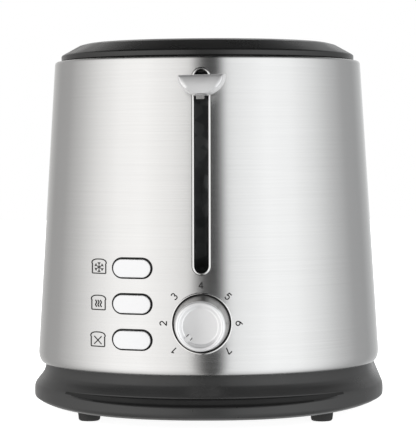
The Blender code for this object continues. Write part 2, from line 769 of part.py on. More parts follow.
def make_cord_gland():
    place, turn = gland_place()
    bore, flange = 0.0032, 0.0068
    profile = [
        (bore, 0.0055),
        (0.0044, 0.0055),
        (0.0058, 0.0032),
        (flange, 0.0028),
        (flange, 0.0012),
        (GLAND_NECK, 0.0012),
        (GLAND_NECK, -0.0090),
        (bore, -0.0090),
    ]
    turned("cord_gland", profile, BLACK, place, turn, steps=24, loop=True)


def main():
    make_body_shell()
    make_top_cover()
    make_base()
    make_feet()
    make_base_screws()
    make_slot_bezel()
    make_dial_bezel()
    make_button_guide()
    make_buttons()
    make_dial()
    make_controls_board()
    make_chassis()
    make_heaters()
    make_guards()
    make_lever()
    make_carriage()
    make_guide()
    make_magnet()
    make_crumb_tray()
    make_cord_gland()


main()
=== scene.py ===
"""The finished look of a two-slice pop-up toaster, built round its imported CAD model.

Metres, +Z up, in the model's own frame: X runs across the toaster and Y along it, with the
control end at -Y.
"""

import json
import math

import bmesh
import bpy
from mathutils import Matrix, Vector


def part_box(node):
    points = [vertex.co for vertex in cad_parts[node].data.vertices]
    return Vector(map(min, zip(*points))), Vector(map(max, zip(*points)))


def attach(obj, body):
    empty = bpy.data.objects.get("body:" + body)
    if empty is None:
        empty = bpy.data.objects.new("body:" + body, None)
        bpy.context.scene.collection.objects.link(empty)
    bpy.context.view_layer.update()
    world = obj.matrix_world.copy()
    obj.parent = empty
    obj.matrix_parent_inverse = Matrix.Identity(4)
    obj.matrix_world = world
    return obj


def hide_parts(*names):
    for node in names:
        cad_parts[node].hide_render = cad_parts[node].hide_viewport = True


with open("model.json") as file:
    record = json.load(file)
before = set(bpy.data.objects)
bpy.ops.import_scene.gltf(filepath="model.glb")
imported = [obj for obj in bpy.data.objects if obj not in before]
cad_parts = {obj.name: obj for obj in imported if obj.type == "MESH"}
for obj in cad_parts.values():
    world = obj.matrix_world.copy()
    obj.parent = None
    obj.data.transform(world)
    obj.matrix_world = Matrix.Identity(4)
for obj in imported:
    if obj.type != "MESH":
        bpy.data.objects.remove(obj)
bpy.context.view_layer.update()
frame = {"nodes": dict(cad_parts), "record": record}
RECORD = frame["record"]
SLOT_OF = {part["node"]: part["material_slot"] for part in RECORD["subparts"]}
BODY_OF = {
    node: body for body, nodes in RECORD["behaviour"]["bodies"].items() for node in nodes
}

# The body's shape, as the CAD model has it
PLAN_EXPONENT = 2.15
END_EXTRA = 0.002  # the rounded ends are this much deeper than the half width
END_STEPS = 108
TAPER = math.radians(3.6)
WRAP_LOW, WRAP_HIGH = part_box("body_shell")
CENTRE_Y = (WRAP_LOW.y + WRAP_HIGH.y) / 2
FLANK = (WRAP_HIGH.y - WRAP_LOW.y) / 2 - WRAP_HIGH.x - END_EXTRA
CURL_HEIGHT = 0.0056
CURL_DEPTH = 0.0024
SHOULDER_HEIGHT = 0.0021
SHOULDER_DEPTH = 0.0012
WRAP_SHEET = 0.0008
WIDEST_Z = WRAP_LOW.z + 0.0068
SHOULDER_Z = WRAP_HIGH.z - SHOULDER_HEIGHT
CRESCENT_DEPTH = 0.003
CRESCENT_HALF_WIDTH = 0.072
CRESCENT_Z = 0.0143
CRESCENT_REACH = 0.0050  # the rings this close to its middle height bend towards its ends
CRESCENT_RISE = 0.0014
PAINTED_SHADE_BAND = (0.0122, 0.0161)  # between these heights it gets the darker grey of painted shade, at the middle
CRESCENT_END = 0.25  # the share of its height that is left at its ends
SOLE_RISE = 0.0022  # the front half of the underside curls up this much at the sides
SOLE_TOP = 0.0100  # and not at all above this height
SOLE_HALF_WIDTH = 0.088
NECK_HALF_WIDTH = 0.0882
COVER_WALL = 0.0024
COVER_INSET = 0.0011
SLOT_SIZE = (0.033, 0.142)
SLOT_CORNER = 0.002

LEVER_TILT = math.radians(1.4)  # the lever hangs a little askew on its arm
LEVER_SHIFT = 0.0005

UPRIGHT = Matrix.Rotation(math.pi / 2, 4, "X")
CONTROL_BUTTONS = ("defrost", "reheat", "cancel")
SIDES = ("left", "right")

# Print
INK_RISE = 0.0001
STROKE = 0.00058
SCALE_X = -0.00025
SCALE_RADIUS = 0.0191
SCALE_START = 225  # the angle of figure 1, in degrees. The others follow clockwise.
SCALE_STEP = 45
FIGURE_HEIGHT = 0.0033
PICTOGRAM_X = -0.0529
PICTOGRAM_LEAN = 0.016  # how far they move outwards for each metre down
PICTOGRAM_SIZE = 0.0074

# Camera and stage
EYE = Vector((0.0424, -1.140, 0.140))
AIM_AZIMUTH = math.radians(2.231)
AIM_DROP = math.radians(2.025)
ROLL = math.radians(-0.25)
LENS = 162.4
FLOOR_RADIUS = 3.0


# --- shapes


def rounded(points, radius, steps=4):
    """A line of points with each inner corner replaced by a short curve."""
    points = [Vector(point) for point in points]
    curve = [points[0]]
    for before, corner, after in zip(points, points[1:], points[2:]):
        back, ahead = before - corner, after - corner
        start = corner + back * min(0.5, radius / back.length)
        end = corner + ahead * min(0.5, radius / ahead.length)
        for step in range(steps + 1):
            t = step / steps
            curve.append(start * (1 - t) ** 2 + corner * 2 * t * (1 - t) + end * t**2)
    return curve + [points[-1]]


def rounded_loop(points, radius, steps=4):
    """The same for a closed outline."""
    points = [Vector(point) for point in points]
    around = [points[-1], *points, points[0]]
    return rounded(around, radius, steps)[1:-1]


def stadium(width, height, centre=(0.0, 0.0), steps=16):
    """An outline with straight long sides and half-round ends, counterclockwise."""
    radius = min(width, height) / 2
    reach = Vector((width / 2 - radius, height / 2 - radius))
    start = 0 if height > width else -math.pi / 2
    points = []
    for side in (1, -1):
        for step in range(steps + 1):
            angle = start + math.pi * step / steps + (0 if side == 1 else math.pi)
            arc = Vector((math.cos(angle), math.sin(angle))) * radius
            points.append(Vector(centre) + reach * side + arc)
    return points


def rounded_rectangle(width, height, radius, centre=(0.0, 0.0), steps=8):
    points = []
    for quarter, (sx, sy) in enumerate(((1, 1), (-1, 1), (-1, -1), (1, -1))):
        corner = Vector((sx * (width / 2 - radius), sy * (height / 2 - radius)))
        for step in range(steps + 1):
            angle = math.pi / 2 * (quarter + step / steps)
            arc = Vector((math.cos(angle), math.sin(angle))) * radius
            points.append(Vector(centre) + corner + arc)
    return points


def wrap_half_width(z):
    return WRAP_HIGH.x - (z - WIDEST_Z) * math.tan(TAPER)


def end_y(half_width, x):
    """How far the rounded end of a plan outline reaches from the middle, at x."""
    fall = 1 - abs(x / half_width) ** PLAN_EXPONENT
    return FLANK + (half_width + END_EXTRA) * fall ** (1 / PLAN_EXPONENT)


def on_wrap(x, z, rise=0.0):
    """A point on the front of the steel wrap, or that far in front of it."""
    return Vector((x, CENTRE_Y - end_y(wrap_half_width(z), x) - rise, z))


def plan_ring(half_width, z, dent=0.0):
    """Points round the body's plan outline. A dent pushes in the middle of the front end."""
    points = []
    power = 2 / PLAN_EXPONENT
    for end in (1, -1):
        for step in range(END_STEPS + 1):
            angle = math.pi * step / END_STEPS
            across = end * math.cos(angle)
            x = math.copysign(abs(across) ** power, across) * half_width
            y = end * (FLANK + (half_width + END_EXTRA) * abs(math.sin(angle)) ** power)
            if end == -1:
                y += dent * max(0.0, 1 - (x / CRESCENT_HALF_WIDTH) ** 2) ** 0.9
            points.append((x, CENTRE_Y + y, z))
    return points


def facing_front(x, y, z):
    """Local Z points out of the front, local Y up."""
    return Matrix.Translation((x, y, z)) @ UPRIGHT


def facing_right(x):
    """Local X points to the back, local Y up and local Z to +X."""
    return Matrix.Translation((x, 0, 0)) @ Matrix.Rotation(math.pi / 2, 4, "Z") @ UPRIGHT


def middle_of(node):
    low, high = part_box(node)
    return (low + high) / 2


def circle(radius, steps):
    angles = [2 * math.pi * step / steps for step in range(steps)]
    return [(radius * math.cos(angle), radius * math.sin(angle)) for angle in angles]


# --- mesh building


def shade(mesh, sharp=30):
    mesh.shade_smooth()
    mesh.set_sharp_from_angle(angle=math.radians(sharp))


def piece_from(name, bm, mat, sharp=30):
    bmesh.ops.remove_doubles(bm, verts=bm.verts, dist=1e-7)
    bmesh.ops.recalc_face_normals(bm, faces=bm.faces)
    mesh = bpy.data.meshes.new(name)
    bm.to_mesh(mesh)
    bm.free()
    shade(mesh, sharp)
    mesh.materials.append(mat)
    obj = bpy.data.objects.new(name, mesh)
    bpy.context.scene.collection.objects.link(obj)
    return obj


def add_skin(bm, rings, caps=(True, True), loop=False):
    """A surface through closed rings of points, capped at its ends or joined end to end."""
    rows = [[bm.verts.new(point) for point in ring] for ring in rings]
    pairs = list(zip(rows, rows[1:]))
    if loop:
        pairs.append((rows[-1], rows[0]))
    for low, high in pairs:
        for i, vert in enumerate(low):
            j = (i + 1) % len(low)
            bm.faces.new((vert, low[j], high[j], high[i]))
    if caps[0] and not loop:
        bm.faces.new(reversed(rows[0]))
    if caps[1] and not loop:
        bm.faces.new(rows[-1])


def skin(name, rings, mat, caps=(True, True), loop=False, sharp=30):
    bm = bmesh.new()
    add_skin(bm, rings, caps, loop)
    return piece_from(name, bm, mat, sharp)


def loft(name, profile, mat, caps=(False, False)):
    """A surface through the plan outline at each (half width, z) of the profile."""
    return skin(name, [plan_ring(*level) for level in profile], mat, caps)


def turned_rings(profile, place, steps):
    """Rings of a (radius, height) profile turned round the local Z of place."""
    rings = []
    for radius, height in profile:
        rings.append([place @ Vector((*point, height)) for point in circle(radius, steps)])
    return rings


def turned(name, profile, place, mat, steps=96, loop=False):
    ends = (profile[0][0] > 1e-6, profile[-1][0] > 1e-6)
    return skin(name, turned_rings(profile, place, steps), mat, ends, loop)


def framed(name, outline, section, place, mat):
    """A closed section of (outwards, upwards) points, carried round a stadium or rectangle."""
    rings = []
    for out, up in section:
        rings.append([place @ Vector((*point, up)) for point in outline(out)])
    return skin(name, rings, mat, loop=True)


def plate(name, loops, thickness, place, mat, bevel=0.0):
    """A flat outline, with any holes as further loops, made into a mesh of even thickness."""
    curve = bpy.data.curves.new(name, "CURVE")
    curve.dimensions = "2D"
    curve.fill_mode = "BOTH"
    curve.extrude = thickness / 2
    for points in loops:
        spline = curve.splines.new("POLY")
        spline.points.add(len(points) - 1)
        for point, (x, y) in zip(spline.points, points):
            point.co = (x, y, 0, 1)
        spline.use_cyclic_u = True
    bm = bmesh_of_curve(curve)
    bmesh.ops.transform(bm, matrix=place, verts=bm.verts)
    obj = piece_from(name, bm, mat)
    if bevel:
        soften(obj, bevel)
    return obj


def bmesh_of_curve(curve):
    """The mesh that a curve makes, its caps welded on. The curve is removed."""
    holder = bpy.data.objects.new("holder", curve)
    bpy.context.scene.collection.objects.link(holder)
    bpy.context.view_layer.update()
    graph = bpy.context.evaluated_depsgraph_get()
    mesh = bpy.data.meshes.new_from_object(holder.evaluated_get(graph))
    bm = bmesh.new()
    bm.from_mesh(mesh)
    bmesh.ops.remove_doubles(bm, verts=bm.verts, dist=1e-6)
    bpy.data.objects.remove(holder)
    bpy.data.meshes.remove(mesh)
    bpy.data.curves.remove(curve)
    return bm


def wires(name, lines, radius, mat):
    """Round wires along lines of points, as one piece."""
    curve = bpy.data.curves.new(name, "CURVE")
    curve.dimensions = "3D"
    curve.bevel_depth = radius
    curve.bevel_resolution = 3
    curve.use_fill_caps = True
    for points in lines:
        spline = curve.splines.new("POLY")
        spline.points.add(len(points) - 1)
        for point, place in zip(spline.points, points):
            point.co = (*place, 1)
    return piece_from(name, bmesh_of_curve(curve), mat)


def soften(obj, width, segments=3):
    modifier = obj.modifiers.new("soft_edges", "BEVEL")
    modifier.width = width
    modifier.segments = segments
    modifier.limit_method = "ANGLE"
    modifier.harden_normals = False
    return obj


def thicken(obj, thickness):
    modifier = obj.modifiers.new("wall", "SOLIDIFY")
    modifier.thickness = thickness
    modifier.offset = -1
    modifier.use_even_offset = True
    return obj


def cut(obj, tools, operation="DIFFERENCE", sharp=30):
    """Cuts, trims or joins obj with other pieces, and removes them."""
    for tool in tools:
        modifier = obj.modifiers.new(tool.name, "BOOLEAN")
        modifier.operation = operation
        modifier.object = tool
    bpy.context.view_layer.update()
    graph = bpy.context.evaluated_depsgraph_get()
    mesh = bpy.data.meshes.new_from_object(obj.evaluated_get(graph))
    obj.modifiers.clear()
    obj.data = mesh
    shade(mesh, sharp)
    for tool in tools:
        bpy.data.objects.remove(tool)
    return obj


def block(name, low, high, mat):
    low, high = Vector(low), Vector(high)
    bm = bmesh.new()
    bmesh.ops.create_cube(bm, size=1)
    bmesh.ops.scale(bm, vec=high - low, verts=bm.verts)
    bmesh.ops.translate(bm, vec=(low + high) / 2, verts=bm.verts)
    return piece_from(name, bm, mat)


def stands_for(piece, *nodes):
    """Puts a new piece in the place of CAD nodes, which it hides, and on their body."""
    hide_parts(*nodes)
    return goes_with(piece, nodes[0])


def goes_with(piece, node):
    """Lets a piece that no CAD node stands for move with a node's body."""
    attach(piece, BODY_OF[node])
    return piece


# --- materials


class Nodes:
    """A node tree, with a short way to add its nodes and link them."""

    def __init__(self, tree):
        self.nodes, self.links = tree.nodes, tree.links

    def feed(self, node, name, value):
        """Links an input to another node's output, or sets it to a number or colour."""
        if isinstance(value, bpy.types.NodeSocket):
            self.links.new(value, node.inputs[name])
        else:
            node.inputs[name].default_value = value

    def add(self, kind, inputs=None, **settings):
        node = self.nodes.new("ShaderNode" + kind)
        for name, value in settings.items():
            setattr(node, name, value)
        for name, value in (inputs or {}).items():
            self.feed(node, name, value)
        return node


class Finish(Nodes):
    """A Principled material, with short ways to feed it procedural textures."""

    def __init__(self, name, colour, roughness, metallic=0.0, **sockets):
        self.mat = bpy.data.materials.new(name)
        self.mat.use_nodes = True
        super().__init__(self.mat.node_tree)
        self.colour = colour
        self.shade(Base_Color=(*colour, 1), Roughness=roughness, Metallic=metallic, **sockets)

    def shade(self, **sockets):
        for name, value in sockets.items():
            self.feed(self.nodes["Principled BSDF"], name.replace("_", " "), value)

    def place(self, stretch=(1, 1, 1)):
        """Object coordinates, stretched along the axes."""
        coordinates = self.add("TexCoord").outputs["Object"]
        return self.add("Mapping", {"Scale": stretch, "Vector": coordinates}).outputs["Vector"]

    def noise(self, scale, stretch=(1, 1, 1), detail=3.0):
        inputs = {"Scale": scale, "Detail": detail, "Vector": self.place(stretch)}
        return self.add("TexNoise", inputs).outputs["Fac"]

    def cells(self, scale, stretch=(1, 1, 1)):
        return self.add("TexVoronoi", {"Scale": scale, "Vector": self.place(stretch)}).outputs["Color"]

    def spread(self, value, low, high):
        """The middle of a texture's range, spread from low to high."""
        inputs = {"From Min": 0.3, "From Max": 0.7, "To Min": low, "To Max": high, "Value": value}
        return self.add("MapRange", inputs).outputs["Result"]

    def vary_roughness(self, value, low, high):
        self.shade(Roughness=self.spread(value, low, high))

    def vary_colour(self, value, amount, tint=None):
        """Mixes the colour with a darker one, or a tint, by up to amount."""
        other = tint or tuple(channel * 0.5 for channel in self.colour)
        inputs = {"A": (*self.colour, 1), "B": (*other, 1), "Factor": self.spread(value, 0.0, amount)}
        self.shade(Base_Color=self.add("Mix", inputs, data_type="RGBA").outputs["Result"])

    def bump(self, value, height):
        inputs = {"Strength": 1.0, "Distance": height, "Height": value}
        self.shade(Normal=self.add("Bump", inputs).outputs["Normal"])

    def brushed_round_z(self):
        """Turns the stretched highlight upright, as brushing round the body gives."""
        tangent = self.add("Tangent", direction_type="RADIAL", axis="Z").outputs["Tangent"]
        self.shade(Tangent=tangent, Anisotropic_Rotation=0.25)


def brushed_steel():
    finish = Finish("brushed_steel", (0.65, 0.648, 0.645), 0.2, 1.0, Anisotropic=0.85)
    streaks = finish.noise(1.0, (25, 25, 7000), 2.0)
    finish.brushed_round_z()
    finish.vary_roughness(streaks, 0.17, 0.23)
    finish.vary_colour(finish.noise(1.0, (12, 12, 3500), 2.0), 0.08)
    finish.bump(streaks, 0.000001)
    return finish.mat


def grained_plastic(name, colour, roughness, **sockets):
    """Moulded plastic with a fine spark-eroded grain."""
    finish = Finish(name, colour, roughness, **sockets)
    finish.vary_roughness(finish.noise(60.0), roughness - 0.04, roughness + 0.05)
    finish.vary_colour(finish.noise(35.0, detail=5.0), 0.12)
    finish.bump(finish.noise(1800.0, detail=2.0), 0.00001)
    return finish.mat


def rubber():
    finish = Finish("foot_rubber", (0.014, 0.014, 0.014), 0.75)
    finish.vary_colour(finish.noise(180.0), 0.5, (0.035, 0.034, 0.033))
    finish.vary_roughness(finish.noise(90.0), 0.62, 0.86)
    finish.bump(finish.noise(2600.0, detail=2.0), 0.00003)
    return finish.mat


def plated(name="bright_plating", roughness=0.13):
    finish = Finish(name, (0.78, 0.775, 0.77), roughness, 1.0)
    finish.vary_roughness(finish.noise(140.0), roughness - 0.03, roughness + 0.05)
    finish.vary_colour(finish.noise(50.0), 0.06)
    finish.bump(finish.noise(900.0, detail=2.0), 0.0000008)
    return finish.mat


def silver_paint(name="silver_paint", level=0.84, metallic=0.65):
    finish = Finish(name, (level, level, level * 1.006), 0.3, metallic)
    finish.vary_roughness(finish.noise(80.0), 0.26, 0.34)
    finish.vary_colour(finish.cells(5200.0), 0.16, (level + 0.08, level + 0.08, level + 0.08))
    finish.bump(finish.noise(2400.0, detail=2.0), 0.000003)
    return finish.mat


# A darker copy of the knob's silver for its skirt: the darker colour paints the shade on the knob's side
def shaded_silver_metal():
    finish = Finish("shaded_silver_metal", (0.40, 0.395, 0.39), 0.34, 1.0)
    finish.vary_roughness(finish.noise(90.0), 0.30, 0.38)
    finish.vary_colour(finish.cells(4200.0), 0.14)
    finish.bump(finish.noise(2400.0, detail=2.0), 0.000002)
    return finish.mat


def pale_paint():
    finish = Finish("pale_silver_paint", (0.93, 0.93, 0.935), 0.32)
    finish.vary_roughness(finish.noise(80.0), 0.28, 0.36)
    finish.vary_colour(finish.cells(5200.0), 0.10, (0.84, 0.84, 0.86))
    finish.bump(finish.noise(2400.0, detail=2.0), 0.000003)
    return finish.mat


def ink():
    finish = Finish("grey_ink", (0.022, 0.021, 0.021), 0.5, Specular_IOR_Level=0.25)
    finish.vary_colour(finish.noise(2500.0), 0.25, (0.06, 0.06, 0.06))
    finish.vary_roughness(finish.noise(900.0), 0.45, 0.6)
    return finish.mat


def galvanised():
    finish = Finish("galvanised_sheet", (0.56, 0.57, 0.58), 0.42, 1.0)
    spangle = finish.cells(160.0)
    finish.vary_colour(spangle, 0.45, (0.40, 0.41, 0.43))
    finish.vary_roughness(spangle, 0.34, 0.52)
    finish.bump(finish.noise(500.0), 0.000006)
    return finish.mat


def mica():
    finish = Finish("mica", (0.50, 0.42, 0.28), 0.48)
    finish.vary_colour(finish.noise(70.0, (1, 1, 3), 6.0), 0.8, (0.30, 0.23, 0.13))
    finish.vary_roughness(finish.cells(600.0), 0.32, 0.62)
    finish.bump(finish.noise(300.0, (1, 1, 2), 5.0), 0.00004)
    return finish.mat


def heater_ribbon():
    finish = Finish("heater_ribbon", (0.30, 0.27, 0.25), 0.38, 1.0)
    finish.vary_colour(finish.noise(60.0), 0.7, (0.16, 0.13, 0.15))
    finish.vary_roughness(finish.noise(300.0), 0.3, 0.5)
    return finish.mat


def wire_steel():
    finish = Finish("wire_steel", (0.52, 0.52, 0.52), 0.3, 1.0)
    finish.vary_colour(finish.noise(90.0, detail=5.0), 0.5, (0.36, 0.33, 0.29))
    finish.vary_roughness(finish.noise(400.0), 0.24, 0.42)
    finish.bump(finish.noise(1600.0), 0.000004)
    return finish.mat


def circuit_board():
    finish = Finish("solder_mask", (0.02, 0.12, 0.045), 0.38)
    finish.vary_colour(finish.cells(240.0, (1, 1, 3)), 0.5, (0.03, 0.19, 0.07))
    finish.vary_roughness(finish.noise(300.0), 0.3, 0.48)
    finish.bump(finish.cells(420.0, (1, 1, 2)), 0.00003)
    return finish.mat


def copper_winding():
    finish = Finish("enamelled_copper", (0.45, 0.16, 0.06), 0.3, 1.0)
    turns = finish.add("TexWave", {"Scale": 420.0, "Vector": finish.place()}, bands_direction="Z")
    finish.vary_colour(turns.outputs["Fac"], 0.7, (0.22, 0.06, 0.02))
    finish.vary_roughness(finish.noise(200.0), 0.24, 0.4)
    finish.bump(turns.outputs["Fac"], 0.0001)
    return finish.mat


def tray_sheet():
    finish = Finish("tray_sheet", (0.58, 0.58, 0.59), 0.33, 1.0)
    rolled = finish.noise(1.0, (1800, 20, 20), 4.0)
    finish.vary_roughness(rolled, 0.28, 0.42)
    finish.vary_colour(finish.noise(25.0, detail=5.0), 0.25, (0.42, 0.40, 0.37))
    finish.bump(rolled, 0.000003)
    return finish.mat


STEEL = brushed_steel()
COVER_BLACK = grained_plastic("cover_black", (0.008, 0.008, 0.008), 0.28, Specular_IOR_Level=0.6)
BASE_GREY = grained_plastic("base_grey", (0.031, 0.031, 0.031), 0.30)
# Painted shade: a darker, duller grey for the floor of the base's front recess and for the line round the
# dial's pointer
PAINTED_SHADE_GREY = grained_plastic("painted_shade_grey", (0.013, 0.013, 0.013), 0.6, Specular_IOR_Level=0.3)
FITTING_BLACK = grained_plastic("fitting_black", (0.010, 0.010, 0.010), 0.5)
RUBBER = rubber()
PLATING = plated()
SILVER = silver_paint()
# A darker copy of the controls' silver paint for the lever: the lower level paints the shade on its face
SHADED_LEVER_SILVER = silver_paint("shaded_lever_silver", 0.78, 0.75)
SHADED_SILVER_SIDE = shaded_silver_metal()
PALE = pale_paint()
INK = ink()
GALVANISED = galvanised()
MICA = mica()
RIBBON = heater_ribbon()
WIRE = wire_steel()
BOARD = circuit_board()
COPPER = copper_winding()
TRAY = tray_sheet()

SLOT_FINISH = {
    "steel_wrap": STEEL,
    "black_cover": COVER_BLACK,
    "grey_base": BASE_GREY,
    "foot_rubber": RUBBER,
    "bright_bezel": PLATING,
    "silver_controls": SILVER,
    "pale_buttons": PALE,
    "black_fittings": FITTING_BLACK,
    "galvanised_sheet": GALVANISED,
    "mica_boards": MICA,
    "plain_steel": WIRE,
    "polished_steel": plated("polished_steel", 0.16),
    "board_green": BOARD,
    "coil_copper": COPPER,
    "tray_metal": TRAY,
}


def finish_cad_nodes():
    for node, obj in frame["nodes"].items():
        mat = SLOT_FINISH[SLOT_OF[node]]
        obj.data.materials.clear()
        obj.data.materials.append(mat)


# --- casing


def quarter(depth, height, steps=7):
    """Points of a quarter ellipse, from (0, 0) inwards and up to (depth, height)."""
    points = []
    for step in range(steps + 1):
        angle = math.pi / 2 * step / steps
        points.append((depth * (1 - math.cos(angle)), height * math.sin(angle)))
    return points


def wrap_profile():
    """A curled lower edge, the tapering wall and a rounded shoulder."""
    widest, top = wrap_half_width(WIDEST_Z), wrap_half_width(SHOULDER_Z)
    curl = quarter(CURL_DEPTH, CURL_HEIGHT)
    shoulder = quarter(SHOULDER_DEPTH, SHOULDER_HEIGHT)
    levels = 48
    step = (SHOULDER_Z - WIDEST_Z) / levels
    middle = [WIDEST_Z + step * i for i in range(1, levels)]
    low = [(widest - inset, WIDEST_Z - drop) for inset, drop in reversed(curl)]
    high = [(top - inset, SHOULDER_Z + rise) for inset, rise in shoulder]
    return low + [(wrap_half_width(z), z) for z in middle] + high


def control_holes():
    """Cutters for everything that comes out through the front of the wrap."""
    low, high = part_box("slot_bezel")
    room, reach = 0.0004, 0.03
    outline = stadium(high.x - low.x - 2 * room, (high.z - low.z) - 2 * room)
    tools = [plate("lever_slot_cut", [outline], reach, slot_place(), STEEL)]
    low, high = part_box("dial_bezel")
    dial_at = facing_front(*on_wrap(0, (low.z + high.z) / 2))
    radius = (high.x - low.x) / 2 + 0.0002
    tools.append(turned("dial_cut", [(radius, reach / 2), (radius, -reach / 2)], dial_at, STEEL))
    for name in CONTROL_BUTTONS:
        x, z, width, height = button_hole(name)
        place = facing_front(*on_wrap(x, z))
        tools.append(plate(f"{name}_cut", [stadium(width, height)], reach, place, STEEL))
    return tools


def slot_place():
    """The middle of the lever slot, square to the leaning wrap."""
    place = facing_front(*on_wrap(0, middle_of("slot_bezel").z))
    return place @ Matrix.Rotation(-TAPER, 4, "X")


def button_hole(name):
    """Centre x and z, width and height of the opening that a button stands in."""
    x, z, width, height = button_shape(name)
    return x + 0.0002, z + 0.00015, width + 0.0020, height + 0.0020


def button_shape(name):
    """Centre x and z, width and height of a button's face, without its hidden flange."""
    low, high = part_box(f"{name}_button")
    middle = (low + high) / 2
    return middle.x - 0.0005, middle.z + 0.00015, high.x - low.x - 0.0011, high.z - low.z - 0.0015


def make_wrap():
    wrap = thicken(loft("steel_wrap", wrap_profile(), STEEL), WRAP_SHEET)
    cut(wrap, control_holes())
    stands_for(wrap, "body_shell")


def make_cover():
    low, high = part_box("top_cover")
    rim, seat = high.x - COVER_INSET, WRAP_HIGH.z
    profile = [
        (rim - 0.0009, low.z),
        (rim - 0.0009, seat + 0.0001),
        (rim - 0.0001, seat + 0.0003),
        (rim, seat + 0.0031),
        (rim - 0.0006, seat + 0.0037),
        (rim - 0.0096, high.z - 0.0009),
        (rim - 0.0130, high.z),
        (rim - 0.0200, high.z),
    ]
    moulding = loft("top_cover_moulding", rounded(profile, 0.0006), COVER_BLACK, (False, True))
    cover = thicken(moulding, COVER_WALL)
    tools = []
    for side in SIDES:
        x, size = bread_slot(side)
        place = Matrix.Translation((x, CENTRE_Y, high.z))
        outline = rounded_rectangle(*size, SLOT_CORNER)
        tools.append(plate(f"{side}_slot_cut", [outline], 0.02, place, COVER_BLACK))
    cut(cover, tools)
    stands_for(cover, "top_cover")
    for side in SIDES:
        make_slot_lip(side, high.z)


def bread_slot(side):
    """A bread slot's middle x and its (width, length)."""
    guards = [middle_of(f"bread_guard_{side}_{place}").x for place in ("outer", "inner")]
    return sum(guards) / 2, SLOT_SIZE


def make_slot_lip(side, top_z):
    """The rolled rim of a bread slot, with a short throat below it."""
    x, (width, length) = bread_slot(side)

    def outline(out):
        return rounded_rectangle(width + 2 * out, length + 2 * out, SLOT_CORNER + out)

    section = [
        (-0.0012, -0.0150), (-0.0012, -0.0006), (-0.0008, 0.0003), (0.0002, 0.0007), (0.0014, 0.0006),
        (0.0022, 0.0001), (0.0022, -0.0002), (-0.0002, -0.0002), (-0.0002, -0.0150),
    ]
    place = Matrix.Translation((x, CENTRE_Y, top_z))
    lip = framed(f"slot_lip_{side}", outline, rounded_loop(section, 0.0005), place, COVER_BLACK)
    goes_with(lip, "top_cover")


# The base moulding's (half width, height, depth of the front recess), from its floor upwards
BASE_PROFILE = [
    (0.0830, 0.0047, 0.0), (0.0874, 0.0047, 0.0), (0.0906, 0.0053, 0.0), (0.0930, 0.0066, 0.0),
    (0.0943, 0.0083, 0.0), (0.0946, 0.0100, 0.0), (0.0945, 0.0120, 0.0),
    (0.0943, 0.0129, CRESCENT_DEPTH), (0.0938, 0.0156, CRESCENT_DEPTH), (0.0934, 0.0165, 0.0),
    (0.0921, 0.0185, 0.0), (0.0904, 0.0204, 0.0), (0.0893, 0.0222, 0.0), (0.0887, 0.0242, 0.0),
    (NECK_HALF_WIDTH, 0.0264, 0.0), (NECK_HALF_WIDTH, 0.0330, 0.0),
]

# The same for the inner faces, on the way down
BASE_INSIDE = [
    (0.0860, 0.0330, 0.0), (0.0860, 0.0258, 0.0), (0.0868, 0.0212, 0.0), (0.0882, 0.0150, 0.0),
    (0.0880, 0.0090, 0.0), (0.0850, 0.0069, 0.0),
]


def crescent_height(x, y, z):
    """Bends a level near the front recess, so that the recess rises and thins to its ends."""
    off = (z - CRESCENT_Z) / CRESCENT_REACH
    if abs(off) >= 1:
        return z
    out = min(1.0, abs(x) / CRESCENT_HALF_WIDTH) if y < CENTRE_Y else 1.0
    share = 1 - (1 - CRESCENT_END) * out**3
    bent = off * (share + (1 - share) * abs(off))
    return CRESCENT_Z + CRESCENT_REACH * bent + CRESCENT_RISE * out**2 * (1 - off**2)


def sole_lift(x, y, z):
    """The underside of the base curls up towards the toaster's long sides."""
    if y > CENTRE_Y or z > SOLE_TOP:
        return 0.0
    share = min(abs(x) / SOLE_HALF_WIDTH, 1.0)
    return SOLE_RISE * share**4 * (SOLE_TOP - z) / (SOLE_TOP - BASE_PROFILE[0][1])


def make_base():
    rings = []
    for level in rounded(BASE_PROFILE, 0.0007):
        ring = plan_ring(*level)
        rings.append([(x, y, crescent_height(x, y, z) + sole_lift(x, y, z)) for x, y, z in ring])
    rings += [plan_ring(*level) for level in BASE_INSIDE]
    base = skin("base_moulding", rings, BASE_GREY, sharp=50)
    cut(base, [tray_opening(), gland_hole(), base_vents(), *screw_holes()], sharp=50)
    paint_crescent_shade(base)
    stands_for(base, "base")


def paint_crescent_shade(base):
    """Paints shade on the floor of the front recess, as a darker, duller grey."""
    base.data.materials.append(PAINTED_SHADE_GREY)
    half_width = max(level[0] for level in BASE_PROFILE if level[2] > 0)
    for face in base.data.polygons:
        x, y, z = face.center
        low, high = [crescent_height(x, y, level) for level in PAINTED_SHADE_BAND]
        if abs(x) > CRESCENT_HALF_WIDTH or not low < z < high:
            continue
        behind = y - (CENTRE_Y - end_y(half_width, x))
        if 0.0005 < behind < CRESCENT_DEPTH + 0.0012 and face.normal.y < -0.2:
            # these faces get the painted shade
            face.material_index = 1


def tray_opening():
    low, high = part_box("tray_handle")
    room = 0.0004
    start = (low.x - room, 0.118 + CENTRE_Y, low.z - room)
    return block("tray_opening_cut", start, (high.x + room, 0.180, high.z + room), BASE_GREY)


def gland_place():
    """Where the mains lead leaves the base, beside the tray, square to the wall."""
    low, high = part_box("cord_gland")
    half_width, x, step = 0.0942, 0.066, 0.0005
    slope = (end_y(half_width, x + step) - end_y(half_width, x - step)) / (2 * step)
    place = Matrix.Translation((x, CENTRE_Y + end_y(half_width, x), (low.z + high.z) / 2))
    return place @ Matrix.Rotation(math.atan(slope), 4, "Z") @ Matrix.Rotation(-math.pi / 2, 4, "X")


def gland_hole():
    return turned("gland_cut", [(0.0054, 0.015), (0.0054, -0.015)], gland_place(), BASE_GREY)


def base_vents():
    """Air slots through the floor of the base, under the heaters."""
    slots, pitch = [], 0.014
    for x in (-0.052, 0.052):
        for i in range(7):
            slots.append(stadium(0.016, 0.004, (x, CENTRE_Y + pitch * (i - 3)), 6))
    place = Matrix.Translation((0, 0, 0.0058))
    return plate("base_vents_cut", slots, 0.006, place, BASE_GREY)


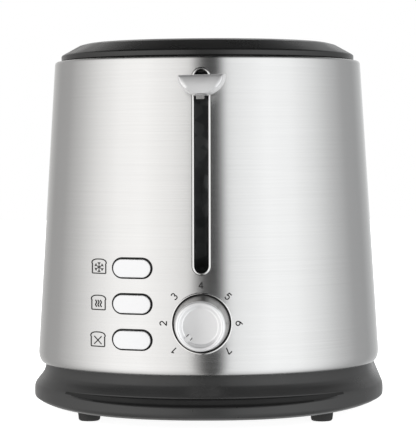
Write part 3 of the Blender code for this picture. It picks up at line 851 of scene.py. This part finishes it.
def screw_holes():
    tools = []
    for i in range(1, 5):
        x, y, _ = middle_of(f"base_screw_{i}")
        profile = [(0.0021, 0.012), (0.0021, -0.002)]
        tools.append(turned(f"screw_cut_{i}", profile, Matrix.Translation((x, y, 0)), BASE_GREY, 24))
    return tools


def make_feet():
    for node in ("foot_front_left", "foot_front_right", "foot_rear_left", "foot_rear_right"):
        low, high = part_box(node)
        radius = (high.x - low.x) / 2
        profile = [
            (0, high.z),
            (radius, high.z),
            (radius - 0.0004, low.z + 0.0008),
            (radius - 0.0010, low.z),
            (radius - 0.0026, low.z),
            (radius - 0.0028, low.z + 0.0006),
            (0, low.z + 0.0006),
        ]
        place = Matrix.Translation(((low.x + high.x) / 2, (low.y + high.y) / 2, 0))
        stands_for(turned(f"rubber_{node}", rounded(profile, 0.0003), place, RUBBER, 64), node)


def make_screws():
    for i in range(1, 5):
        node = f"base_screw_{i}"
        low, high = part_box(node)
        head = low.z + 0.0018
        profile = [(0, high.z), (0.0015, high.z), (0.0015, head), (0.0034, head)]
        profile += [(0.0034, low.z + 0.0007), (0.0024, low.z), (0, low.z)]
        x, y, _ = (low + high) / 2
        place = Matrix.Translation((x, y, 0))
        screw = turned(f"pan_head_screw_{i}", rounded(profile, 0.0004), place, WIRE, 40)
        arms = []
        centre = Vector((x, y, low.z))
        for corner in (Vector((0.0018, 0.0004, 0.001)), Vector((0.0004, 0.0018, 0.001))):
            arms.append(block(f"cross_cut_{len(arms)}", centre - corner, centre + corner, WIRE))
        cut(screw, arms)
        stands_for(screw, node)


# --- lever


def make_slot_bezel():
    low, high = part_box("slot_bezel")
    width, height = high.x - low.x, high.z - low.z
    rim, shadow_line_half = 0.0012, 0.0002

    def outline(out):
        return stadium(width - 2 * rim + 2 * out, height - 2 * rim + 2 * out, steps=32)

    section = [(0.0, -0.0028), (0.0, 0.0008), (0.0004, 0.0012), (0.0008, 0.0011), (rim, 0.0004)]
    section += [(rim, 0.0001), (0.0006, 0.0001), (0.0006, -0.0028)]
    bezel = framed("lever_slot_bezel", outline, rounded_loop(section, 0.0004), slot_place(), PLATING)
    stands_for(bezel, "slot_bezel")
    # A thin black strip round the bezel's rim paints the shadow in the gap between the bezel and the wrap
    inner, outer = rim - shadow_line_half, rim + shadow_line_half
    seam = [(inner, -shadow_line_half), (inner, shadow_line_half), (outer, shadow_line_half), (outer, -shadow_line_half)]
    goes_with(framed("lever_slot_painted_shadow", outline, seam, slot_place(), FITTING_BLACK), "slot_bezel")


def lever_outline(half, depth, top_z, y, flat=0.98, steps=40):
    """A D lying on its curved side. Its lowest part is flattened."""
    points = []
    for step in range(steps + 1):
        angle = math.pi * (1 + step / steps)
        fall = min(abs(math.sin(angle)) * depth / flat, depth)
        points.append(Vector((half * math.cos(angle), -fall)))
    points[0].y = points[-1].y = 0.0004
    return [(point.x, y, top_z + point.y) for point in rounded_loop(points, 0.0008, 5)]


def make_lever():
    low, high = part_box("lever_knob")
    top, draft, lean = 0.1775, 0.0012, 0.0021
    half, depth = high.x - draft, high.z - low.z - draft - 0.0004
    middle = Vector((0, 0, top - 0.4 * depth))

    def leaning(point):
        """The upper part of the face leans back."""
        x, y, z = point
        return Vector((x, y + lean * max(0.0, (z - top) / depth + 1) ** 2, z))

    edge = lever_outline(half - 0.0011, depth - 0.0011, top - 0.0009, low.y)
    rings = []
    for share in (0.03, 0.2, 0.4, 0.6, 0.8):
        ring = []
        for point in edge:
            inner = middle.lerp(Vector(point), share)
            ring.append(leaning((inner.x, low.y, inner.z)))
        rings.append(ring)
    for back, grow in ((0.0, -0.0011), (0.0001, -0.0008), (0.0004, -0.0003), (0.0010, 0.0)):
        ring = lever_outline(half + grow, depth + grow, top + min(grow, 0) * 0.8, low.y + back)
        rings.append([leaning(point) for point in ring])
    length = high.y - low.y
    for share in (0.35, 0.65, 0.94):
        grow = draft * share
        rings.append(lever_outline(half + grow, depth + grow, top + 0.3 * grow, low.y + length * share))
    rings.append(lever_outline(half + draft - 0.0005, depth + draft - 0.0005, top, high.y))
    hang = Matrix.Rotation(-LEVER_TILT, 4, "Y") @ Matrix.Translation((0, 0, -top))
    hang = Matrix.Translation((LEVER_SHIFT, 0, top)) @ hang
    rings = [[hang @ Vector(point) for point in ring] for ring in rings]
    stands_for(skin("lever_cap", rings, SHADED_LEVER_SILVER, sharp=40), "lever_knob")


# --- dial and buttons


def make_dial_bezel():
    low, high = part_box("dial_bezel")
    outer = (high.x - low.x) / 2
    inner = outer - 0.0006
    centre_z = (low.z + high.z) / 2
    section = [(inner, -0.004), (inner, 0.0002), (inner + 0.0003, 0.0006), (outer + 0.0003, 0.0003)]
    section += [(outer + 0.0003, -0.0002), (outer, -0.0004), (outer, -0.004)]
    rings = []
    for radius, rise in rounded_loop(section, 0.0002, 3):
        rings.append([on_wrap(x, centre_z + up, rise) for x, up in circle(radius, 96)])
    stands_for(skin("dial_ring", rings, PLATING, loop=True), "dial_bezel")


def make_dial():
    """A dished front with a broad rim, on a slightly wider skirt."""
    low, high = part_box("dial_knob")
    centre_z = (low.z + high.z) / 2
    depth = high.y - low.y
    outer = (high.x - low.x) / 2
    rim = outer - 0.0015
    seam = depth - 0.0024
    face = [
        (0, depth - 0.0021),
        (rim - 0.0034, depth - 0.0020),
        (rim - 0.0029, depth - 0.0011),
        (rim - 0.0019, depth - 0.0001),
        (rim - 0.0010, depth),
        (rim - 0.0002, depth - 0.0006),
        (rim, depth - 0.0012),
        (rim, seam + 0.0006),
        (rim - 0.0003, seam),
        (rim - 0.0010, seam - 0.0003),
        (0, seam - 0.0003),
    ]
    skirt = [
        (0, seam),
        (rim - 0.0002, seam),
        (rim - 0.0001, seam - 0.0002),
        (outer - 0.0002, 0.0035),
        (outer, 0.0018),
        (outer, 0.0),
        (0.0033, 0.0),
        (0.0033, depth - 0.0065),
        (0, depth - 0.0065),
    ]
    place = facing_front(0, high.y, centre_z)
    knob = turned("dial_cap", rounded(face, 0.0006), place, SILVER, 128)
    stands_for(knob, "dial_knob")
    # The skirt's darker metal is painted shade on the knob's side
    goes_with(turned("dial_skirt", rounded(skirt, 0.0003), place, SHADED_SILVER_SIDE, 128), "dial_knob")
    make_dial_pointer(low.y + 0.0021, centre_z, rim - 0.0029)
    washer = [(0.0050, -0.0003), (outer + 0.0012, -0.0003), (outer + 0.0012, -0.0009), (0.0050, -0.0009)]
    felt = turned("dial_washer", rounded_loop(washer, 0.0001, 2), place, FITTING_BLACK, loop=True)
    goes_with(felt, "dial_bezel")


def make_dial_pointer(floor_y, centre_z, dish):
    """A raised tab that stands in the dish against its rim, in a dark line of painted shadow. It points
    to 1.
    """
    turn = Matrix.Rotation(-math.radians(225), 4, "Y") @ Matrix.Translation((dish - 0.0010, 0, 0))
    place = Matrix.Translation((0, floor_y, centre_z)) @ turn @ UPRIGHT
    # The first mark is a thin dark plate, wider than the tab, that paints the tab's shadow
    marks = (("dial_pointer_painted_shadow", 0.0030, 0.0002, PAINTED_SHADE_GREY), ("dial_pointer", 0.0021, 0.0030, SILVER))
    for name, width, height, mat in marks:
        tab = plate(name, [rounded_rectangle(0.0036, width, 0.0004)], height, place, mat, height / 8)
        goes_with(tab, "dial_knob")


def make_button_guide():
    """A black frame behind the wrap, whose collars fill the gap round each button."""
    low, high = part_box("button_guide")
    back = high.y - 0.001
    collars = bmesh.new()
    wells = []
    for name in CONTROL_BUTTONS:
        x, z, width, height = button_shape(name)
        inner = stadium(width + 0.0006, height + 0.0006, (x, z), 24)
        x, z, width, height = button_hole(name)
        outer = stadium(width - 0.0001, height - 0.0001, (x, z), 24)
        rings = [[(px, back, pz) for px, pz in inner]]
        for outline, rise in ((inner, -0.0009), (outer, -0.0005)):
            rings.append([on_wrap(px, pz, rise) for px, pz in outline])
        rings.append([(px, back, pz) for px, pz in outer])
        add_skin(collars, rings, loop=True)
        wells.append(inner)
    stands_for(piece_from("button_frame", collars, FITTING_BLACK), "button_guide")
    middle = (low + high) / 2
    border = rounded_rectangle(high.x - low.x, high.z - low.z, 0.002, (middle.x, middle.z))
    place = facing_front(0, back, 0)
    backing = plate("button_frame_plate", [border, *wells], 0.002, place, FITTING_BLACK)
    goes_with(backing, "button_guide")


def make_buttons():
    """Each cap follows the wrap's curve and stands a little proud of it."""
    for name in CONTROL_BUTTONS:
        node = f"{name}_button"
        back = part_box(node)[1].y
        x, z, width, height = button_shape(name)
        proud, edge = 0.0016, 0.0006
        rings = [[(px, back, pz) for px, pz in stadium(width, height, (x, z), 24)]]
        steps = 6
        for step in range(steps + 1):
            angle = math.pi / 2 * step / steps
            inset = 2 * edge * (1 - math.cos(angle))
            rise = proud - edge * (1 - math.sin(angle))
            outline = stadium(width - inset, height - inset, (x, z), 24)
            rings.append([on_wrap(px, pz, rise) for px, pz in outline])
        for share in (0.75, 0.5, 0.25, 0.05):
            inner = stadium(width - 2 * edge, height - 2 * edge, (0, 0), 24)
            crown = 0.00015 * (1 - share)
            rings.append([on_wrap(x + p.x * share, z + p.y * share, proud + crown) for p in inner])
        stands_for(skin(f"{name}_cap", rings, PALE), node)


# --- print


def in_short_steps(points, closed, step=0.0005):
    """The same line with more points, so that it can follow the wrap's curve."""
    points = [Vector(point) for point in points]
    ends = points[1:] + points[:1] if closed else points[1:]
    line = []
    for start, end in zip(points, ends):
        count = max(1, math.ceil((end - start).length / step))
        line += [start.lerp(end, i / count) for i in range(count)]
    return line if closed else [*line, points[-1]]


def add_stroke(bm, points, width=STROKE, closed=False):
    """A thin raised line of ink along (x, z) points on the wrap."""
    points = in_short_steps(points, closed)
    count = len(points)
    sections = []
    for i, point in enumerate(points):
        before = points[i - 1] if closed or i else point
        after = points[(i + 1) % count] if closed or i + 1 < count else point
        along = (after - before).normalized()
        aside = Vector((-along.y, along.x)) * width / 2
        left, right = point + aside, point - aside
        corners = ((left, INK_RISE), (right, INK_RISE), (right, -INK_RISE), (left, -INK_RISE))
        sections.append([on_wrap(corner.x, corner.y, rise) for corner, rise in corners])
    add_skin(bm, sections, loop=closed)


def slice_outline(size):
    """The outline of a slice of bread: a square body under a slightly wider, rounded top."""
    half = size / 2
    right = [(0.93, -1.0), (0.93, 0.20), (0.90, 0.30), (1.0, 0.42)]
    for step in range(1, 9):
        angle = math.pi / 2 * step / 9
        right.append((math.cos(angle) ** 0.8, 0.42 + 0.58 * math.sin(angle) ** 0.8))
    left = [(-u, v) for u, v in reversed(right)]
    points = [(u * half * 1.06, v * half * 0.98) for u, v in right + left]
    return rounded_loop(points, size * 0.05, 3)


def snowflake(size):
    """Six arms, each with a short V at its tip."""
    lines = []
    for arm in range(6):
        angle = math.pi / 3 * arm + math.pi / 6
        tip = Vector((math.cos(angle), math.sin(angle))) * size
        lines.append([(0, 0), tip])
        for turn in (0.30, -0.30):
            side = Vector((math.cos(angle + turn), math.sin(angle + turn))) * size * 0.98
            lines.append([tip * 0.68, side])
    return lines


def warm_waves(size):
    lines = []
    for across in (-0.72, 0.0, 0.72):
        wave = []
        for step in range(17):
            t = step / 16 * 2 - 1
            wave.append(((across + 0.16 * math.sin(math.pi * t * 1.5)) * size, t * size))
        lines.append(wave)
    return lines


def cross(size):
    return [[(-size, -size), (size, size)], [(-size, size), (size, -size)]]


def make_pictograms():
    marks = [
        ("defrost", snowflake, 0.0025, 0.00042, 0.0007),
        ("reheat", warm_waves, 0.0018, 0.00062, 0.0003),
        ("cancel", cross, 0.0020, 0.00052, -0.0003),
    ]
    bm = bmesh.new()
    top = button_shape("defrost")[1]
    for name, mark, size, width, above in marks:
        z = button_shape(name)[1]
        centre = Vector((PICTOGRAM_X - PICTOGRAM_LEAN * (top - z), z + above))
        add_stroke(bm, [centre + point for point in slice_outline(PICTOGRAM_SIZE)], closed=True)
        for line in mark(size):
            add_stroke(bm, [centre + Vector(point) - Vector((0, 0.0005)) for point in line], width)
    goes_with(piece_from("printed_pictograms", bm, INK), "body_shell")


def bow(centre, reach, start, end, steps=14):
    """Points along part of an ellipse, its angles in degrees."""
    points = []
    for step in range(steps + 1):
        angle = math.radians(start + (end - start) * step / steps)
        points.append((centre[0] + reach[0] * math.cos(angle), centre[1] + reach[1] * math.sin(angle)))
    return points


# Each figure is one line, in a box one unit tall round (0, 0)
FIGURES = [
    [(-0.22, 0.26), (0.10, 0.5), (0.10, -0.5)],
    [*bow((0, 0.22), (0.29, 0.28), 165, -35), (-0.32, -0.5), (0.34, -0.5)],
    [*bow((-0.02, 0.25), (0.27, 0.25), 150, -80), *bow((-0.02, -0.23), (0.31, 0.27), 80, -150)],
    [(0.14, -0.5), (0.14, 0.5), (-0.34, -0.20), (0.36, -0.20)],
    [(0.28, 0.5), (-0.20, 0.5), (-0.26, 0.02), *bow((-0.01, -0.18), (0.31, 0.32), 130, -150)],
    [(0.16, 0.5), (-0.14, 0.22), *bow((0, -0.20), (0.31, 0.30), 155, 515, 24)],
    [(-0.32, 0.5), (0.32, 0.5), (-0.12, -0.5)],
]


def make_scale():
    """The figures 1 to 7 round the dial, their tops outwards."""
    low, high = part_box("dial_bezel")
    centre = Vector((SCALE_X, (low.z + high.z) / 2))
    bm = bmesh.new()
    for i, figure in enumerate(FIGURES):
        angle = math.radians(SCALE_START - SCALE_STEP * i)
        out = Vector((math.cos(angle), math.sin(angle)))
        right = Vector((out.y, -out.x))
        line = []
        for across, up in figure:
            away, aside = SCALE_RADIUS + up * FIGURE_HEIGHT, across * FIGURE_HEIGHT
            line.append(centre + out * away + right * aside)
        add_stroke(bm, line)
    goes_with(piece_from("printed_scale", bm, INK), "body_shell")


# --- inside and back


def make_heaters():
    turns, notch_depth, notch_half = 17, 0.0012, 0.001
    for name in ("left", "centre", "right"):
        node = f"heater_{name}"
        low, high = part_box(node)
        step = (high.z - low.z - 0.012) / turns
        ribs = [low.z + 0.006 + step * i for i in range(turns + 1)]
        front = [(high.y, low.z)]
        for z in ribs:
            bottom, top, floor = z - notch_half, z + notch_half, high.y - notch_depth
            front += [(high.y, bottom), (floor, bottom), (floor, top), (high.y, top)]
        front.append((high.y, high.z))
        back = [(low.y + (high.y - y), z) for y, z in reversed(front)]
        place = facing_right((low.x + high.x) / 2)
        board = plate(f"{node}_board", [front + back], high.x - low.x, place, MICA)
        stands_for(board, node)
        make_heater_ribbon(node, low, high, ribs, notch_depth)


def make_heater_ribbon(node, low, high, ribs, bite):
    """Flat resistance wire, wound round the board from notch to notch."""
    thick, tall = 0.00025, 0.0014
    bm = bmesh.new()
    for z, next_z in zip(ribs, ribs[1:]):
        for x, start_z, end_z in ((low.x - thick, z, z), (high.x + thick, z, next_z)):
            sections = []
            for y, at_z in ((low.y + bite, start_z), (high.y - bite, end_z)):
                corners = ((-thick, -tall / 2), (thick, -tall / 2), (thick, tall / 2), (-thick, tall / 2))
                sections.append([(x + dx * 0.9, y, at_z + dz) for dx, dz in corners])
            add_skin(bm, sections)
    ribbon = piece_from(f"{node}_ribbon", bm, RIBBON)
    goes_with(ribbon, node)


def make_guards():
    """Wire grilles that hinge on their lowest wire."""
    for side in SIDES:
        for place in ("outer", "inner"):
            node = f"bread_guard_{side}_{place}"
            low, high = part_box(node)
            x = (low.x + high.x) / 2
            radius, inset = 0.0006, 0.006
            foot, top = low.z + 0.001, high.z - radius
            reach = high.y - inset - 0.0008
            start = low.y + inset + 0.0008
            lines = [[(x, low.y, foot), (x, high.y, foot)]]
            for z in (foot + 0.044, foot + 0.088, top):
                lines.append([(x, start, z), (x, reach, z)])
            count = 11
            for i in range(count):
                y = start + (reach - start) * i / (count - 1)
                lines.append([(x, y, foot), (x, y, top)])
            stands_for(wires(f"wire_guard_{side}_{place}", lines, radius, WIRE), node)


def make_lifts():
    """A punched web from the carriage, with a comb of tabs that the bread stands on."""
    for side in SIDES:
        node = f"bread_lift_{side}"
        low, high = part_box(node)
        x, top = (low.x + high.x) / 2, high.z - 0.0002
        web = [(low.y, low.z), (high.y, low.z), (high.y, top), (low.y, top)]
        windows = []
        shelf_start, count = low.y + 0.016, 6
        step = (high.y - shelf_start) / count
        for i in range(count):
            centre = (shelf_start + step * (i + 0.5), low.z + 0.0036)
            windows.append(stadium(step - 0.008, 0.0034, centre, 8))
        lift = plate(f"lift_web_{side}", [web, *windows], 0.0012, facing_right(x), WIRE, 0.0002)
        stands_for(lift, node)
        tabs = []
        for i in range(9):
            y = shelf_start + 0.006 + (high.y - shelf_start - 0.012) * i / 8
            tabs.append(rounded_rectangle(high.x - low.x, 0.007, 0.0015, (x, y), 4))
        shelf_at = Matrix.Translation((0, 0, high.z - 0.0007))
        goes_with(plate(f"lift_tabs_{side}", tabs, 0.0014, shelf_at, WIRE, 0.0002), node)


def make_crumb_tray():
    """A pan with a rolled rim. Its outer faces come first, then the inner ones."""
    low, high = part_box("crumb_tray")
    floor_inset, sheet = 0.0060, 0.0008
    levels = [
        (0.0, high.z), (0.0, high.z - 0.0006), (0.0008, high.z - 0.0010), (0.0010, low.z + 0.0010),
        (0.0020, low.z), (floor_inset, low.z), (floor_inset, low.z + sheet), (0.0026, low.z + sheet),
        (0.0018, low.z + 0.0016), (0.0018, high.z - 0.0004), (0.0010, high.z),
    ]
    bm = bmesh.new()
    add_skin(bm, [tray_ring(low, high, inset, z) for inset, z in levels], loop=True)
    add_skin(bm, [tray_ring(low, high, floor_inset, low.z + up) for up in (0, sheet)])
    bmesh.ops.remove_doubles(bm, verts=bm.verts, dist=1e-7)
    inner_walls = [face for face in bm.faces if is_buried(face, low.z, sheet)]
    bmesh.ops.delete(bm, geom=inner_walls, context="FACES")
    stands_for(piece_from("crumb_tray_pan", bm, TRAY), "crumb_tray")


def tray_ring(low, high, inset, z):
    size = high - low
    centre = ((low.x + high.x) / 2, (low.y + high.y) / 2)
    outline = rounded_rectangle(size.x - 2 * inset, size.y - 2 * inset, 0.007 - inset, centre)
    return [(x, y, z) for x, y in outline]


def is_buried(face, floor_z, sheet):
    """The short upright faces between the two halves of the tray's floor."""
    heights = {round(vert.co.z - floor_z, 5) for vert in face.verts}
    return heights == {0.0, sheet} and abs(face.normal.z) < 0.1


def make_tray_handle():
    """The handle closes the gap in the base, and its back face follows the base's."""
    low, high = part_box("tray_handle")
    body = block("tray_handle_moulding", low, high, BASE_GREY)
    levels = [(half_width - 0.0001, z) for half_width, z, _ in BASE_PROFILE[1:]]
    trim = loft("tray_handle_trim", rounded(levels, 0.0007), BASE_GREY, (True, True))
    cut(body, [trim], "INTERSECT")
    lip_at = Matrix.Translation((0, high.y - 0.0100, 0.0123))
    lip = plate("tray_handle_lip", [stadium(0.036, 0.020)], 0.0028, lip_at, BASE_GREY)
    soften(cut(body, [lip], "UNION"), 0.0005, 2)
    stands_for(body, "tray_handle")


def make_gland():
    """A ribbed bush that would grip the mains lead."""
    profile = [(0.0032, 0.0055), (0.0044, 0.0055), (0.0058, 0.0032), (0.0068, 0.0028)]
    profile += [(0.0068, 0.0012), (0.0050, 0.0012), (0.0050, -0.0090), (0.0032, -0.0090)]
    outline = rounded_loop(profile, 0.0004, 3)
    bush = turned("lead_bush", outline, gland_place(), FITTING_BLACK, 64, loop=True)
    stands_for(bush, "cord_gland")


# --- camera and stage


def make_camera():
    camera = bpy.data.cameras.new("photo_view")
    camera.lens = LENS
    camera.clip_start = 0.05
    obj = bpy.data.objects.new("photo_view", camera)
    bpy.context.scene.collection.objects.link(obj)
    level = Vector((-math.sin(AIM_AZIMUTH), math.cos(AIM_AZIMUTH), 0))
    aim = level * math.cos(AIM_DROP) - Vector((0, 0, math.sin(AIM_DROP)))
    turn = aim.to_track_quat("-Z", "Y").to_matrix().to_4x4()
    obj.matrix_world = Matrix.Translation(EYE) @ turn @ Matrix.Rotation(ROLL, 4, "Z")
    bpy.context.scene.camera = obj


# The studio tent: two soft walls that stand alike on both sides, and a dark gap for the camera
WALL_AZIMUTH = 45.0  # degrees from the front to the brightest part of each wall
WALL_LEVEL = 0.95  # their brightness straight ahead, at the sides and behind
WALL_SWING = 0.50  # how much brighter they are at that azimuth, and darker a right angle from it
GAP_AZIMUTH = 2.0
GAP_INNER, GAP_OUTER = 4.0, 10.0  # degrees from its middle to where its edges start and end
GAP_SHARE = 0.08
TENT_PEAK = 1.6  # the ramp holds shares of this brightness
WARM, COOL = (1.0, 0.993, 0.982), (0.984, 0.995, 1.0)  # the tint of its left and right halves
# Share of that brightness at each height: (upward part of the direction, share)
TENT_HEIGHTS = [(-1.0, 0.5), (-0.5, 1.0), (0.0, 1.0), (0.45, 1.0), (0.6, 0.55), (0.74, 0.06), (1.0, 0.03)]
SOFT_LIGHT = 0.95  # what reaches the matt surfaces, alike from all sides


def tent_level(degrees):
    """Brightness of the tent in a direction, in degrees from the front towards +X."""
    wall = WALL_LEVEL + WALL_SWING * math.cos(2 * math.radians(abs(degrees) - WALL_AZIMUTH))
    away = abs(degrees - GAP_AZIMUTH)
    open_share = min(1.0, max(0.0, (away - GAP_INNER) / (GAP_OUTER - GAP_INNER)))
    return wall * (GAP_SHARE + (1 - GAP_SHARE) * open_share)


def tent_azimuths():
    """Where the tent's brightness is set: all round in even steps, and at the gap's edges."""
    even = [-180 + 20 * i for i in range(19) if i != 9]
    edges = [GAP_AZIMUTH + side * edge for side in (-1, 1) for edge in (GAP_INNER, GAP_OUTER)]
    return sorted(even + edges)


def ramp_over(tree, value, start, end, stops):
    """A colour ramp whose stops are given in the value's own units."""
    share = tree.add("MapRange", {"From Min": start, "From Max": end, "Value": value})
    ramp = tree.add("ValToRGB", {"Fac": share.outputs["Result"]})
    elements = ramp.color_ramp.elements
    while len(elements) < len(stops):
        elements.new(0.5)
    for element, (at, colour) in zip(elements, stops):
        element.position = (at - start) / (end - start)
        element.color = (*colour, 1)
    return ramp.outputs["Color"]


def make_tent():
    """What glossy surfaces reflect. Matt ones get even light, and the camera sees plain white."""
    world = bpy.data.worlds.new("studio_tent")
    bpy.context.scene.world = world
    world.use_nodes = True
    tree = Nodes(world.node_tree)
    tree.nodes.clear()
    axes = tree.add("SeparateXYZ", {"Vector": tree.add("TexCoord").outputs["Generated"]}).outputs
    front = tree.add("Math", {0: axes["Y"], 1: -1}, operation="MULTIPLY").outputs["Value"]
    azimuth = tree.add("Math", {0: axes["X"], 1: front}, operation="ARCTAN2").outputs["Value"]
    around = []
    for degrees in tent_azimuths():
        tint = WARM if degrees < 0 else COOL
        level = tent_level(degrees) / TENT_PEAK
        around.append((math.radians(degrees), [level * channel for channel in tint]))
    heights = [(rise, [share] * 3) for rise, share in TENT_HEIGHTS]
    all_round = ramp_over(tree, azimuth, -math.pi, math.pi, around)
    upwards = ramp_over(tree, axes["Z"], -1, 1, heights)
    walls = tree.add("VectorMath", {0: all_round, 1: upwards}, operation="MULTIPLY")
    light = tree.add("Background", {"Color": walls.outputs["Vector"], "Strength": TENT_PEAK})
    mixed = light.outputs["Background"]
    path = tree.add("LightPath").outputs
    for ray, level in (("Is Diffuse Ray", SOFT_LIGHT), ("Is Camera Ray", 1.0)):
        plain = tree.add("Background", {"Color": (level, level, level, 1)}).outputs["Background"]
        mixed = tree.add("MixShader", {"Fac": path[ray], 1: mixed, 2: plain}).outputs["Shader"]
    tree.add("OutputWorld", {"Surface": mixed})
    world.cycles.sampling_method = "NONE"


def make_floor():
    """A white floor that glows, so that the shadow on it stays faint."""
    bm = bmesh.new()
    bmesh.ops.create_circle(bm, cap_ends=True, segments=96, radius=FLOOR_RADIUS)
    finish = Finish("pale_floor", (0.9, 0.9, 0.9), 0.7, Specular_IOR_Level=0.0, Emission_Strength=0.90)
    finish.shade(Emission_Color=(1, 1, 1, 1))
    finish.vary_roughness(finish.noise(6.0), 0.6, 0.75)
    floor = piece_from("floor", bm, finish.mat)
    floor.visible_diffuse = floor.visible_glossy = False


def make_front_softbox():
    light = bpy.data.lights.new("front_softbox", "AREA")
    light.shape = "RECTANGLE"
    light.size, light.size_y = 0.9, 0.6
    light.energy = 3
    obj = bpy.data.objects.new("front_softbox", light)
    bpy.context.scene.collection.objects.link(obj)
    obj.location = (-0.5, -1.6, 1.5)
    aim = Vector((0, -0.1, 0.1)) - obj.location
    obj.rotation_euler = aim.to_track_quat("-Z", "Y").to_euler()
    obj.visible_camera = obj.visible_glossy = False


def make_stage():
    make_camera()
    make_floor()
    make_tent()
    make_front_softbox()
    bpy.context.scene.view_settings.view_transform = "Standard"


def make_toaster():
    finish_cad_nodes()
    make_wrap()
    make_cover()
    make_base()
    make_feet()
    make_screws()
    make_slot_bezel()
    make_lever()
    make_dial_bezel()
    make_dial()
    make_button_guide()
    make_buttons()
    make_pictograms()
    make_scale()
    make_heaters()
    make_guards()
    make_lifts()
    make_crumb_tray()
    make_tray_handle()
    make_gland()


make_toaster()
make_stage()
